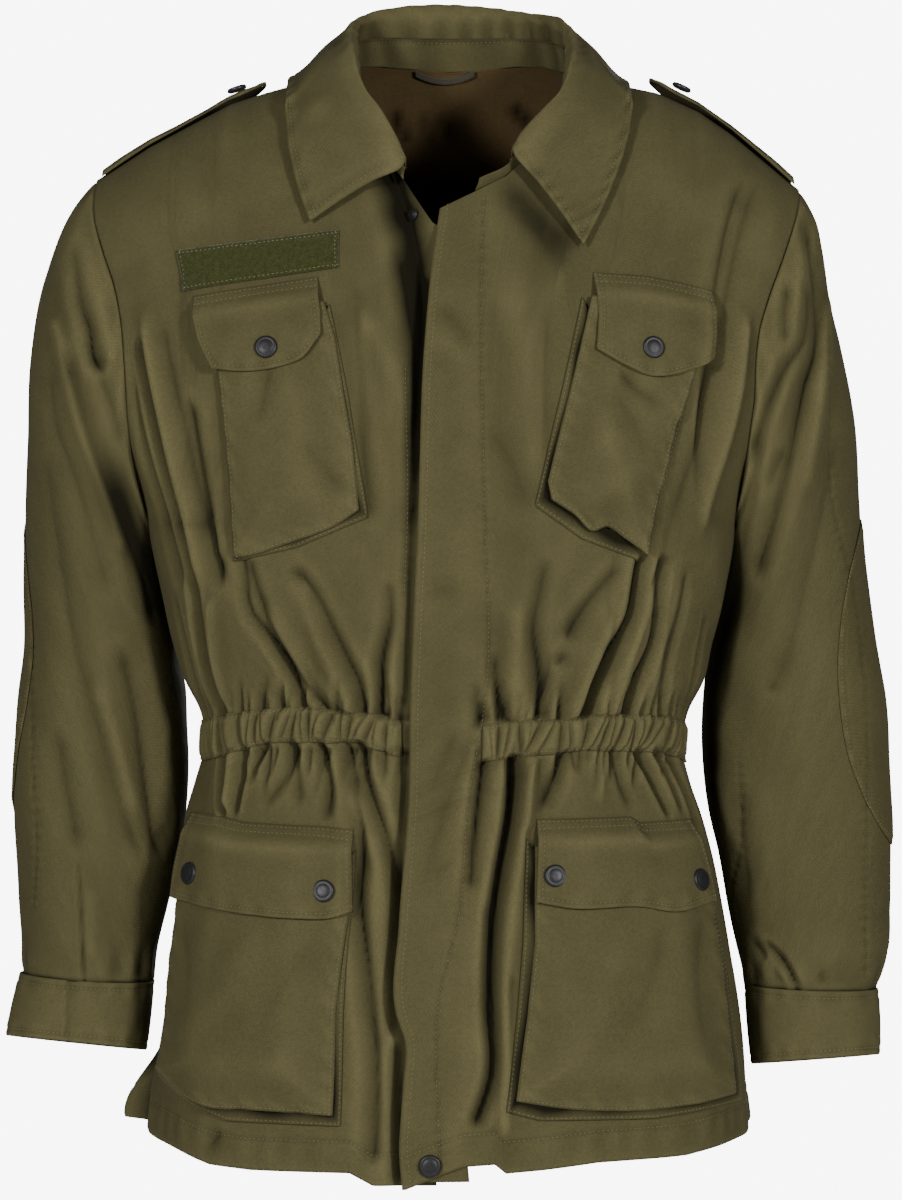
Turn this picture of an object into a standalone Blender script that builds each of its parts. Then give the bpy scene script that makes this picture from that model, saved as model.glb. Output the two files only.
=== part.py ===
"""Olive drab field jacket, men's medium, filled out as on a general figure.

The tables are in millimetres and the meshes in metres. +Z is up, the front faces -Y and +X is the
wearer's left. The origin is the middle of the neck opening, 11 mm below the shoulder seams' inner ends.
Every cloth piece is a wall between two like grids of points, an outer and an inner one.
"""

import math

import bmesh
import bpy
import numpy as np

METRE = 1000.0  # millimetres

# ---------------------------------------------------------------- driving sizes
CLOTH = 1.4  # wall of one layer
PILE = 1.6  # hook-and-loop strip
DOUBLE = 2.0  # wall of two layers sewn together
SEAM_GAP = 0.3
PANEL_GAP = 1.1  # between a panel and what is sewn on it
ROUNDNESS = 2.45  # exponent of the body's cross-sections
SHOULDER_TURN = 80.0  # depth below the shoulder line in which the cloth turns over it
ARMHOLE_GAP = 1.2  # wider than SEAM_GAP, for the seam is curved both ways
ARMHOLE_DEPTH = 68.0  # half the armhole's depth, front to back
FLY_UNDERLAP = 22.0  # right front's reach under the fly
FLY_WIDTH = 44.0
FLY_FLAT, FLY_FADE = 28.0, 45.0  # the fly stands off evenly this far in, and less and less beyond
DIP_START, DIP_FADE = -2.0, 22.0  # the same for the right front's dip, outward from the fly's edge
FACING_START = 2.5  # the inner layer's setback from the fly's edge
FACING_FOOT, FACING_HEAD = -733.0, -104.0
SNAP_RADIUS, SNAP_HEIGHT = 7.6, 2.6
NECK_SNAP_RADIUS = 4.0
BUTTON_RADIUS, BUTTON_HEIGHT = 7.0, 3.2
TURNED_STEPS = 12  # flats round a snap or a button
# shares of the radius and of the height, from the middle of the top round to the middle below
SNAP_PROFILE = ((0, 1), (0.6, 0.9), (1, 0.4), (0.92, 0), (0, 0))
BUTTON_PROFILE = ((0, 0.7), (0.7, 0.7), (0.85, 1), (1, 0.5), (0.8, 0), (0, 0))
RIGHT, LEFT = -1, 1
FRONT, BACK = -1, 1

# The body's cross-section at each height. "widest" is the y of the side seams.
BODY_COLUMNS = ("z", "right", "left", "front", "back", "widest")
BODY_ROWS = (
    (-740, 210, 207, 152, 150, -10),
    (-700, 206, 205, 150, 148, -10),
    (-661, 199, 202, 147, 144, -12),
    (-626, 194, 198, 143, 140, -15),
    (-592, 190, 193, 138, 135, -18),
    (-557, 187, 187, 133, 130, -20),
    (-523, 184, 180, 127, 124, -22),
    (-495, 179, 172, 121, 118, -24),
    (-475, 173, 165, 116, 113, -25),
    (-454, 168, 160, 112, 108, -25),
    (-426, 170, 164, 111, 107, -26),
    (-406, 180, 174, 113, 109, -28),
    (-378, 189, 180, 118, 113, -30),
    (-350, 195, 187, 124, 118, -32),
    (-300, 205, 195, 130, 123, -30),
    (-200, 206, 196, 129, 122, -20),
    (-150, 206, 196, 118, 118, -12),
    (-100, 206, 196, 100, 110, -6),
    (-50, 206, 196, 82, 97, -2),
    (0, 206, 196, 76, 84, 0),
    (60, 206, 196, 70, 76, 0),
)
BODY = dict(zip(BODY_COLUMNS, np.array(BODY_ROWS, float).T))

# Height of the shoulder line over x. Between the ends of the shoulder seams it is the line that the
# neckline's cloth would turn over.
SHOULDER_X = (-242, -206, -151, -126, -108, -80, -70, -55, -40, 0, 40, 58, 74, 85, 119, 143, 172, 194, 241)
SHOULDER_Z = (-61, -38, -9, -1, 4, 11, 26, 39, 48.5, 61, 48.5, 39, 26, 11, 4, -1, -14, -29, -68)
NECK_CORNER = {RIGHT: -80.0, LEFT: 85.0}  # where the shoulder seams meet the neckline

# Armhole seams: height and distance from the middle, from the armpit up to the shoulder.
ARMHOLE = {
    RIGHT: np.array(
        (
            (-300, 205), (-282, 209), (-251, 214), (-228, 216), (-191, 218),
            (-160, 221), (-137, 226), (-117, 233), (-89, 241), (-61, 242),
        ),
        float,
    ),
    LEFT: np.array(
        (
            (-300, 195), (-282, 197.5), (-232, 203), (-216, 205), (-190, 206),
            (-168, 209), (-148, 215), (-116, 227), (-86, 237), (-68, 241),
        ),
        float,
    ),
}

# Edges of the two fronts and the back, as x and z.
NECK_RIGHT_FRONT = (
    (-80, 11), (-78.5, 8), (-75, -1), (-68, -10), (-57, -30), (-44, -50), (-31, -68), (-11, -98),
    (14, -112), (40, -125),
)
NECK_LEFT_FRONT = (
    (-40, -104), (-5, -88), (17, -77), (38, -66), (55, -50), (70, -32), (80, -10), (82.5, 0), (84, 8),
    (85, 11),
)
NECK_BACK = (
    (-80, 11), (-76, 15), (-66, 22), (-50, 23), (-25, 22.3), (0, 21), (25, 22.3), (52, 23), (70, 22),
    (81, 15), (85, 11),
)
HEM_RIGHT_FRONT = (
    (-215, -710), (-182, -719), (-159, -726), (-132, -728), (-66, -728), (-51, -736), (-10, -736),
)
HEM_LEFT_FRONT = (
    (-30, -738), (-5, -728), (9, -723), (30, -722), (37, -728), (62, -726), (98, -722), (158, -720),
    (210, -712),
)
HEM_BACK = ((-215, -708), (-150, -716), (0, -722), (150, -716), (210, -710))

# Free edge of the fly: height, x, how far the fly stands off, how far the right front dips behind it.
FLY_COLUMNS = ("z", "x", "lift", "dip")
FLY_ROWS = (
    (-738, -30, 5.5, 3),
    (-712, -32, 6.0, 5),
    (-693, -31, 6.5, 7),
    (-666, -29, 7.0, 8),
    (-642, -28, 7.5, 8),
    (-622, -34, 7.5, 8),
    (-565, -32, 7.0, 7),
    (-483, -26, 6.0, 4),
    (-417, -25, 5.4, 2),
    (-337, -22, 5.2, 1),
    (-294, -20, 5.2, 0),
    (-181, -16, 5.2, 0),
    (-125, -11, 5.0, 0),
    (-88, -6, 4.8, 0),
)
FLY = dict(zip(FLY_COLUMNS, np.array(FLY_ROWS, float).T))

# Largest folds of the fronts, as x and z of the deep end and of the end where they fade.
FOLD_COLUMNS = ("deep_x", "deep_z", "faint_x", "faint_z", "half_width", "height")
FRONT_FOLDS = (
    # right front, above the casing
    (-158, -420, -177, -331, 9, -5),
    (-130, -420, -160, -335, 9, 4),
    (-104, -420, -143, -332, 8, -5),
    (-80, -420, -122, -330, 9, 4),
    (-60, -412, -108, -330, 8, -5),
    (-46, -419, -40, -339, 7, -4),
    # right front, below the casing
    (-155, -458, -150, -494, 7, -6),
    (-141, -456, -146, -496, 6, -5),
    (-127, -452, -137, -480, 6, -4),
    (-100, -452, -100, -494, 10, 3),
    (-72, -453, -60, -497, 7, -5),
    (-61, -452, -34, -545, 8, -4),
    # right front, from the armhole
    (-204, -180, -172, -262, 10, -4),
    # left front, above the casing
    (32, -425, 31, -370, 6, -3),
    (46, -425, 48, -350, 8, 3),
    (62, -420, 63, -339, 8, -4),
    (80, -425, 112, -350, 9, 4),
    (96, -425, 133, -324, 8, -7),
    (109, -425, 143, -330, 7, 4),
    (122, -426, 150, -332, 8, -5),
    # left front, below the casing
    (45, -458, 29, -570, 8, -9),
    (86, -458, 68, -492, 7, -4),
    (107, -458, 107, -492, 9, 3),
    (128, -455, 135, -488, 6, -4),
    (149, -456, 158, -494, 7, -5),
    (28, -610, 32, -715, 8, 3),
    # left front, from the armhole
    (170, -215, 146, -310, 10, -6),
)
# At the hem the back swings out beside the side seams: how far, how far from the seam, and from where down.
HEM_FLARE = {RIGHT: 21.0, LEFT: 5.0}
FLARE_FROM_SEAM, FLARE_WIDTH, FLARE_TOP, FLARE_FULL = 32.0, 22.0, -645.0, -705.0
BACK_FOLD_COUNT = 11
BACK_FOLD_LENGTH = (95.0, 80.0)  # above and below the casing
BACK_FOLD_HEIGHT = 4.5
BACK_FOLD_PITCH, BACK_FOLD_HALF_WIDTH = 27.0, 9.0
BACK_FOLD_START = 14.0  # from the casing's middle
BACK_FOLD_SPREAD, BACK_FOLD_STRAY = 1.12, 5.0  # how far the outer ends fan out, and stray from it

# Casing edges, as x and z, and the gathers of its front lengths, as x at the top and at the bottom.
CASING_TOP = {
    RIGHT: ((-172, -434), (-154, -428), (-118, -423), (-99, -422), (-75, -424), (-49, -427), (-29, -432)),
    LEFT: ((20, -434), (41, -431), (75, -430), (96, -427), (117, -427), (146, -429), (166, -436)),
}
CASING_BOTTOM = {
    RIGHT: ((-172, -461), (-152, -456), (-138, -451), (-119, -446), (-90, -446), (-59, -446), (-31, -456)),
    LEFT: ((20, -459), (40, -456), (75, -453), (96, -451), (148, -453), (166, -463)),
}
CASING_GATHERS = {
    RIGHT: (
        (-155, -154), (-140, -139), (-128, -130), (-114, -121), (-100, -106), (-92, -94),
        (-76, -85), (-63, -69), (-48, -58), (-41, -43), (-32, -33),
    ),
    LEFT: (
        (22, 22), (33, 32), (47, 48), (61, 50), (75, 74), (94, 89),
        (107, 100), (117, 111), (124, 122), (137, 128), (149, 145),
    ),
}
CASING_LOW, CASING_HIGH = -454.0, -426.0
CASING_FLAT = 16.0  # the folds fade within this distance of the casing's middle, and again this far out
GATHER_DEPTH = 2.6
GATHER_PITCH = 9.5
SIDE_PITCH = 1.45  # the gathers' step beside the side seam, in pitches
BACK_GATHERS = 28
BACK_GATHER_LEAN = 0.02  # radians between a gather's two ends
# the back casing's edges: angle from the middle of the back, top, bottom
BACK_CASING_EDGES = ((-1.6, -434, -461), (0, -424, -451), (1.6, -436, -463))
CASING_END = 0.03  # radians left free at the side seams

# Sleeve rings from the shoulder down: outer point, inner point and half depth, front to back.
RING_COLUMNS = ("out_x", "out_y", "out_z", "in_x", "in_y", "in_z", "depth")
SLEEVE_RINGS = {
    RIGHT: (
        (257, -4, -79, 208, -26, -303, 71),
        (277, 3, -126, 209, -18, -312, 76),
        (290, 9, -191, 205, -4, -326, 79),
        (292, 12, -239, 198, 8, -340, 79),
        (293, 15, -282, 193.5, 16, -362, 78),
        (293, 18, -330, 186.5, 20, -392, 75),
        (293, 20, -377, 183, 22, -412, 72),
        (298, 22, -423, 182, 20, -436, 68),
        (301, 20, -461, 181, 18, -466, 64),
        (301, 14, -499, 183, 14, -499, 60),
        (299, 8, -533, 188, 8, -530, 56),
        (297, 2, -567, 195, 2, -566, 52),
        (294, -3, -592, 200, -3, -592, 48),
        (293, -6, -605, 202, -6, -611, 45),
    ),
    LEFT: (
        (252, -4, -88, 198, -26, -303, 71),
        (257, 0, -110, 199, -22, -307, 74),
        (262, 3, -143, 199, -18, -313, 76),
        (271, 6, -179, 199, -12, -320, 78),
        (279, 9, -217, 198, -4, -330, 79),
        (284, 13, -280, 189.5, 8, -345, 78),
        (288, 17, -327, 185, 16, -366, 76),
        (295, 20, -375, 179.5, 19, -392, 73),
        (301, 22, -415, 176.5, 20, -415, 70),
        (304, 22, -460, 176, 20, -466, 66),
        (306, 16, -502, 179, 15, -497, 62),
        (305, 10, -537, 186, 9, -528, 58),
        (304, 4, -564, 192, 3, -560, 54),
        (302, -2, -592, 198, -3, -590, 50),
        (294, -6, -616, 202, -6, -613, 45),
    ),
}
CUFF_RINGS = {
    RIGHT: (
        (294.6, -6, -606.5, 202.0, -6, -612.5, 45.5),
        (300.0, -11, -628.0, 204.0, -11, -636.0, 45.5),
        (303.6, -16, -649.5, 206.5, -16, -659.5, 45.0),
    ),
    LEFT: (
        (294.6, -6, -617.5, 202.5, -6, -614.5, 45.5),
        (296.0, -11, -640.0, 204.0, -11, -641.0, 45.5),
        (295.0, -16, -662.5, 206.5, -16, -669.0, 45.0),
    ),
}
CUFF_TILT = 5.0  # the cuff's back edge hangs this much lower than its front edge

# Folds on the sleeves' fronts, as the fronts' folds.
SLEEVE_FOLDS = {
    RIGHT: (
        (-244, -178, -262, -104, 9, -9),
        (-268, -190, -277, -150, 9, 5),
        (-232, -275, -264, -195, 12, -5),
        (-216, -374, -244, -265, 13, -5),
        (-214, -500, -277, -300, 14, -5),
        (-254, -600, -257, -535, 7, -5),
    ),
    LEFT: (
        (226, -255, 256, -110, 11, -9),
        (232, -200, 234, -140, 10, 4),
        (216, -320, 240, -235, 12, -5),
        (222, -600, 214, -540, 8, -5),
        (262, -602, 258, -560, 8, -4),
    ),
}

# Elbow patches: the middle ring, the angle round the sleeve from its outer side, half height and width.
PATCH_COLUMNS = ("ring", "angle", "half_rings", "half_angle")
ELBOW_PATCH = {RIGHT: (7.6, -30.0, 2.6, 62.0), LEFT: (8.9, 3.0, 2.6, 62.0)}

# Collar stations from the right front's end round the back to the left front's end: a neckline point
# (x, z), the roll (x, y, z) and the leaf's free edge (x, z). "face" says which side the edge lies on.
COLLAR_ROWS = (
    # neck x, z, roll x, y, z, edge x, z, face
    (-31, -68, -30, -91, -57, -91, -98, FRONT),
    (-44, -50, -43, -82, -26, -99, -76, FRONT),
    (-57, -30, -59, -68, -2, -105, -51, FRONT),
    (-69, -9, -66, -46, 22, -108, -27, FRONT),
    (-79.4, 10, -68.5, -5, 37, -108, -7, FRONT),
    (-76, 15, -66, 28, 52, -106, 1, BACK),
    (-58, 22.6, -54, 56, 61, -95, -4, BACK),
    (-27, 22.4, -30, 74, 65.5, -58, -10, BACK),
    (0, 21, 0, 80, 67, 0, -14, BACK),
    (29, 22.4, 32, 76, 66, 60, -11, BACK),
    (60, 22.6, 58, 60, 61, 100, -5, BACK),
    (81, 15, 77, 30, 53, 118, -2, BACK),
    (84.6, 10, 86, -5, 33, 121, -8, FRONT),
    (80, -10, 84, -45, 15, 121, -27, FRONT),
    (70, -32, 76, -67, -6, 115, -52, FRONT),
    (55, -50, 60, -79, -26, 103, -84, FRONT),
    (38, -66, 43, -92, -50, 88, -114, FRONT),
)
NECK_MIDDLE = (4.0, -2.0)
STAND_SHARE = 0.52  # of the way from the neckline to the roll
ROLL_HALF = 2.6
ROLL_DROP, ROLL_RISE = 3.0, 0.4  # the roll's two sides lie this far below it, and its top this far above
LEAF_SHARES = (0.3, 0.65)  # rows of the leaf between the roll and its edge
LEAF_BOW_OUT, LEAF_BOW_UP = 5.4, 7.2  # the leaf's bow, four times its height in the middle
NECK_GAP = 1.3  # under the stand, whose seam is curved both ways
LEAF_SEAM_GAP = 0.8
LEAF_CLEAR = 5.0  # between the leaf and the body
STAND_END = (18.0, -90.0, -76.0)  # the stand's left end reaches past the leaf
COLLAR_COLUMNS = 28
SEAM_ROW, NEAR_ROW = 2, 4  # rows of the collar's sheet at its seam and at the roll's inner side

# Shoulder straps: x at the armhole and at the tip, half width, y of the middle, lift at armhole and tip.
STRAP = {RIGHT: (-238.0, -126.0, 22.0, 2.0, 5.0, 7.5), LEFT: (237.0, 138.0, 22.0, 2.0, 6.5, 9.0)}
STRAP_BUTTON_X = {RIGHT: -143.5, LEFT: 156.0}
# rows along the strap, as shares of its length, closer together on its round end
STRAP_SHARES = (0, 0.12, 0.26, 0.4, 0.54, 0.68, 0.8, 0.88, 0.94, 0.98, 1.0)
STRAP_NOSE, STRAP_NOSE_LENGTH = 0.8, 0.205  # where its end starts to narrow, and over what share

# Pieces on the fronts, as x and z along their top, bottom, right-hand (toward -X) and left-hand edges.
NAME_STRIP = ((-182, -116), (-73, -103), (-179, -144), (-73, -129))
CHEST_POCKET = {
    RIGHT: {
        "flap": (
            ((-171, -147.5), (-87, -135)),
            ((-152, -197), (-130, -199), (-108, -196), (-95, -191), (-82, -174)),
            ((-171, -147.5), (-162, -176), (-152, -197)),
            ((-87, -135), (-83, -158), (-82, -174)),
        ),
        "wall": (
            ((-155, -164), (-82, -152)),
            ((-141, -323), (-129, -321), (-102, -312), (-73, -301), (-59, -291)),
            ((-155, -164), (-151, -198), (-144, -270), (-141, -323)),
            ((-82, -152), (-75, -176), (-69, -214), (-63, -248), (-59, -291)),
        ),
        "rim": (
            (-157, -166), (-153, -198), (-146, -270), (-143, -325), (-101, -316), (-54, -296), (-67, -214),
            (-79, -154),
        ),
        "middle": (-108, -235),
        "snaps": {"": (-116, -183)},
    },
    LEFT: {
        "flap": (
            ((96, -132), (131, -134), (153, -138), (177, -144)),
            ((94, -184), (114, -196), (129, -202), (137, -202), (160, -196), (175, -189)),
            ((96, -132), (96, -162), (94, -184)),
            ((177, -144), (177, -171), (175, -189)),
        ),
        "wall": (
            ((93, -148), (171, -160)),
            ((66, -284), (79, -293), (93, -305), (103, -302), (114, -310), (126, -321)),
            ((93, -148), (77, -218), (64, -272), (66, -284)),
            ((171, -160), (160, -199), (149, -233), (140, -270), (126, -321)),
        ),
        "rim": (
            (88, -149), (74, -214), (57, -288), (88, -310), (128, -325), (143, -271), (163, -200),
            (174, -162),
        ),
        "middle": (114, -225),
        "snaps": {"": (130, -183)},
    },
}
HIP_POCKET = {
    RIGHT: {
        "flap": (
            ((-174, -494), (-150, -496), (-135, -499), (-83, -501), (-64, -503)),
            ((-180, -551), (-150, -556), (-94, -561), (-76, -561), (-63, -557)),
            ((-174, -494), (-180, -551)),
            ((-64, -503), (-63, -557)),
        ),
        "wall": (
            ((-175, -514), (-66, -521)),
            ((-195, -668), (-176, -682), (-156, -688), (-132, -688), (-75, -690)),
            ((-175, -514), (-180, -551), (-186, -592), (-190, -641), (-195, -668)),
            ((-66, -521), (-66, -561), (-73, -621), (-75, -690)),
        ),
        "rim": (
            (-176, -510), (-183, -560), (-192, -641), (-197, -673), (-171, -688), (-146, -696), (-71, -697),
            (-69, -621), (-63, -517),
        ),
        "middle": (-125, -600),
        "snaps": {"_outer": (-166, -534), "_inner": (-79, -543)},
    },
    LEFT: {
        "flap": (
            ((58, -496), (121, -495), (127, -499), (162, -498)),
            ((55, -550), (62, -553), (134, -553), (137, -556), (172, -552)),
            ((58, -496), (55, -550)),
            ((162, -498), (172, -552)),
        ),
        "wall": (
            ((56, -514), (164, -516)),
            ((43, -680), (72, -685), (106, -688), (136, -688), (190, -683)),
            ((56, -514), (56, -577), (51, -625), (43, -680)),
            ((164, -516), (175, -557), (182, -602), (190, -683)),
        ),
        "rim": (
            (50, -508), (49, -577), (45, -625), (37, -687), (59, -693), (136, -694), (196, -688), (187, -602),
            (168, -512),
        ),
        "middle": (115, -600),
        "snaps": {"_outer": (160, -538), "_inner": (67, -533)},
    },
}
HEM_SNAP = (-12, -722)
NECK_SNAP = (-24, -92)
LOOP_ENDS = (-24, 18)
LOOP_Z, LOOP_SAG, LOOP_WIDTH = 17.0, 8.0, 5.0
LOOP_INSET, TAPE = 3.4, 1.0  # how far inside the back's face the tape hangs, and its thickness

COLOURS = {
    "cloth": (0.098, 0.083, 0.036, 0.85, 0.0),
    "patch_cloth": (0.090, 0.078, 0.034, 0.85, 0.0),
    "loop_pile": (0.052, 0.050, 0.016, 0.95, 0.0),
    "tape": (0.070, 0.065, 0.050, 0.8, 0.0),
    "snap_metal": (0.045, 0.043, 0.046, 0.45, 0.7),
    "button_plastic": (0.030, 0.032, 0.034, 0.35, 0.0),
}


# ---------------------------------------------------------------- numbers
def smooth(at, knots, values):
    """A cubic through the knots, with slopes taken from their neighbours."""
    knots, values = np.asarray(knots, float), np.asarray(values, float)
    slopes = np.gradient(values, knots)
    at = np.clip(at, knots[0], knots[-1])
    i = np.clip(np.searchsorted(knots, at, side="right") - 1, 0, len(knots) - 2)
    step = knots[i + 1] - knots[i]
    t = (at - knots[i]) / step
    return (
        (2 * t**3 - 3 * t**2 + 1) * values[i]
        + (t**3 - 2 * t**2 + t) * step * slopes[i]
        + (3 * t**2 - 2 * t**3) * values[i + 1]
        + (t**3 - t**2) * step * slopes[i + 1]
    )


def ease(t):
    t = np.clip(t, 0, 1)
    return t * t * (3 - 2 * t)


def along(points, shares):
    """Points at these shares of a polyline's length."""
    points = np.asarray(points, float)
    lengths = np.r_[0, np.cumsum(np.linalg.norm(np.diff(points, axis=0), axis=1))]
    at = np.asarray(shares) * lengths[-1]
    return np.stack([np.interp(at, lengths, column) for column in points.T], -1)


def patch(edges, columns, rows):
    """Coons patch between top, bottom, right-hand and left-hand edges: (rows, columns, 2), from the top."""
    u, v = np.linspace(0, 1, columns), np.linspace(0, 1, rows)
    top, bottom = along(edges[0], u)[None], along(edges[1], u)[None]
    near, far = along(edges[2], v)[:, None], along(edges[3], v)[:, None]
    u, v = u[None, :, None], v[:, None, None]
    upper = (1 - u) * near[0, 0] + u * far[0, 0]
    lower = (1 - u) * near[-1, 0] + u * far[-1, 0]
    return (1 - v) * (top - upper) + v * (bottom - lower) + (1 - u) * near + u * far


# ---------------------------------------------------------------- the body's form
def turn(x, z, grow=0.0):
    """From 0 on the shoulder line to 1 where the cloth hangs straight."""
    below = np.clip(np.interp(x, SHOULDER_X, SHOULDER_Z) + grow - z, 0, SHOULDER_TURN)
    return np.sqrt(np.clip(1 - (1 - below / SHOULDER_TURN) ** 2, 0, 1))


def reach(z, facing):
    """Depth from the side seams to the middle of the front or the back."""
    if facing == FRONT:
        return smooth(z, BODY["z"], BODY["front"]) + smooth(z, BODY["z"], BODY["widest"])
    return smooth(z, BODY["z"], BODY["back"]) - smooth(z, BODY["z"], BODY["widest"])


def armhole_half_depth(z, side):
    heights = ARMHOLE[side][:, 0]
    middle, half = (heights[0] + heights[-1]) / 2, (heights[-1] - heights[0]) / 2
    return ARMHOLE_DEPTH * np.sqrt(np.clip(1 - ((z - middle) / half) ** 2, 0, 1))


def half_width(z, side, facing):
    """Half width of the full section. Over the armpit the section passes through the armhole seam."""
    heights, distances = ARMHOLE[side].T
    held = np.minimum(z, heights[-1] - 1)
    seam_x = smooth(held, heights, distances)
    room = reach(held, facing) * turn(side * seam_x, held)
    share = np.clip(armhole_half_depth(held, side) / np.maximum(room, 1e-3), 0, 0.97)
    over = seam_x / (1 - share**ROUNDNESS) ** (1 / ROUNDNESS)
    column = "right" if side == RIGHT else "left"
    return np.where(z > heights[0], over, smooth(z, BODY["z"], BODY[column]))


def edge_angle(z, side, facing):
    """Angle of the side seam, or of the armhole seam over the armpit."""
    heights, distances = ARMHOLE[side].T
    inside = np.clip(smooth(z, heights, distances) / half_width(z, side, facing), 0, 1)
    return side * np.where(z > heights[0], np.arcsin(inside), math.pi / 2)


def body_point(angle, z, facing, grow=0.0):
    """Point of the body at an angle from its middle plane, moved out by grow."""
    angle, z, grow = np.broadcast_arrays(*(np.asarray(value, float) for value in (angle, z, grow)))
    half = np.where(angle < 0, half_width(z, RIGHT, facing), half_width(z, LEFT, facing))
    x = (half + grow) * np.sin(angle)
    share = np.clip(1 - np.abs(np.sin(angle)) ** ROUNDNESS, 0, 1) ** (1 / ROUNDNESS)
    y = smooth(z, BODY["z"], BODY["widest"]) + facing * (reach(z, facing) + grow) * share * turn(x, z, grow)
    return np.stack([x, y, z], -1)


def angle_of(x, z, facing):
    half = np.where(x < 0, half_width(z, RIGHT, facing), half_width(z, LEFT, facing))
    return np.arcsin(np.clip(x / half, -1, 1))


def shoulder_top(x, y):
    """Height of the shoulder's upper face."""
    ridge = np.interp(x, SHOULDER_X, SHOULDER_Z)
    side = np.where(x < 0, half_width(ridge - 20, RIGHT, FRONT), half_width(ridge - 20, LEFT, FRONT))
    share = np.clip(1 - np.abs(x / side) ** ROUNDNESS, 0, 1) ** (1 / ROUNDNESS)
    across = np.clip(np.abs(y) / (reach(ridge - 20, FRONT) * share), 0, 0.98)
    return ridge - SHOULDER_TURN * (1 - np.sqrt(1 - across**2))


def clear_of_body(points, gap):
    """Moves points that are nearer than gap to the body outward, front, back or up over the shoulder."""
    x, y, z = np.moveaxis(np.array(points, float), -1, 0)
    widest = smooth(z, BODY["z"], BODY["widest"])
    turn_z = np.interp(x, SHOULDER_X, SHOULDER_Z) - SHOULDER_TURN
    result = np.array(points, float)
    for facing in (FRONT, BACK):
        half = np.where(x < 0, half_width(z, RIGHT, facing), half_width(z, LEFT, facing))
        share = np.clip(1 - np.abs(x / half) ** ROUNDNESS, 1e-6, 1) ** (1 / ROUNDNESS)
        depth = (y - widest) / (reach(z, facing) * share + gap)
        height = np.maximum(z - turn_z, 0) / (SHOULDER_TURN + gap)
        inside = (facing * depth >= 0) & (np.hypot(depth, height) < 1)
        scale = 1 / np.maximum(np.hypot(depth, height), 1e-6)
        result[..., 1] = np.where(inside, widest + (y - widest) * scale, result[..., 1])
        result[..., 2] = np.where(inside & (z > turn_z), turn_z + (z - turn_z) * scale, result[..., 2])
    return result


def folds(rows, x, z):
    """Sum of the folds: each is deepest near one end and fades towards the other."""
    total = np.zeros(np.broadcast(x, z).shape)
    for deep_x, deep_z, faint_x, faint_z, half, height in rows:
        run = np.array((faint_x - deep_x, faint_z - deep_z), float)
        share = ((x - deep_x) * run[0] + (z - deep_z) * run[1]) / (run @ run)
        held = np.clip(share, 0, 1)
        away = np.hypot(x - deep_x - held * run[0], z - deep_z - held * run[1])
        total = total + height * (1 - ease(share)) * np.exp(-((away / half) ** 2))
    from_waist = np.abs(z - (CASING_LOW + CASING_HIGH) / 2)
    return total * ease((from_waist - CASING_FLAT) / CASING_FLAT)


def back_folds(x, z):
    """Gathers that fan out over and under the casing at the back."""
    total = np.zeros(np.broadcast(x, z).shape)
    middle = (CASING_TOP[RIGHT][3][1] + CASING_BOTTOM[RIGHT][3][1]) / 2
    for i in range(BACK_FOLD_COUNT):
        centre = (i - (BACK_FOLD_COUNT - 1) / 2) * BACK_FOLD_PITCH
        for up, length in ((1, BACK_FOLD_LENGTH[0]), (-1, BACK_FOLD_LENGTH[1])):
            # each fold has a length, a lean and a depth of its own
            reach_here = length * (0.75 + 0.25 * math.cos(2.4 * i + up))
            far_x = centre * BACK_FOLD_SPREAD + BACK_FOLD_STRAY * math.sin(3.1 * i + up)
            depth = BACK_FOLD_HEIGHT * (0.8 + 0.3 * math.sin(5.3 * i))
            row = (
                centre, middle + up * BACK_FOLD_START,
                far_x, middle + up * reach_here,
                BACK_FOLD_HALF_WIDTH, -depth,
            )
            total = total + folds([row], x, z)
    return total


def hem_flare(angle, z):
    flare = np.where(angle < 0, HEM_FLARE[RIGHT], HEM_FLARE[LEFT])
    from_seam = (math.pi / 2 - np.abs(angle)) * half_width(z, RIGHT, BACK)
    beyond = np.maximum(from_seam - FLARE_FROM_SEAM, 0) / FLARE_WIDTH
    near = ease(from_seam / FLARE_WIDTH) * np.exp(-(beyond**2))
    return flare * near * ease((FLARE_TOP - z) / (FLARE_TOP - FLARE_FULL))


def fly_lift(x, z):
    """How far the left front stands off the body near its free edge."""
    inward = x - smooth(z, FLY["z"], FLY["x"])
    return smooth(z, FLY["z"], FLY["lift"]) * (1 - ease((inward - FLY_FLAT) / FLY_FADE))


def fly_dip(x, z):
    """How far the right front sinks behind the fly."""
    before = smooth(z, FLY["z"], FLY["x"]) - x
    return -smooth(z, FLY["z"], FLY["dip"]) * (1 - ease((before - DIP_START) / DIP_FADE))


def panel_grow(x, z, side):
    own = fly_lift(x, z) if side == LEFT else fly_dip(x, z)
    return own + folds(FRONT_FOLDS, x, z)


def on_front(x, z, side, lift):
    """Point on a front, at x and z of the unfolded body, lifted off the cloth."""
    return body_point(angle_of(x, z, FRONT), z, FRONT, panel_grow(x, z, side) + lift)


# ---------------------------------------------------------------- meshes
def material(name):
    if name in bpy.data.materials:
        return bpy.data.materials[name]
    red, green, blue, roughness, metallic = COLOURS[name]
    made = bpy.data.materials.new(name)
    made.use_nodes = True
    shader = made.node_tree.nodes["Principled BSDF"]
    shader.inputs["Base Color"].default_value = (red, green, blue, 1)
    shader.inputs["Roughness"].default_value = roughness
    shader.inputs["Metallic"].default_value = metallic
    made.diffuse_color = (red, green, blue, 1)
    return made


def add_object(name, mesh, finish):
    mesh.materials.append(material(finish))
    made = bpy.data.objects.new(name, mesh)
    bpy.data.collections["field_jacket"].objects.link(made)
    made.parent = bpy.data.objects["field_jacket_middle"]
    return made


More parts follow.
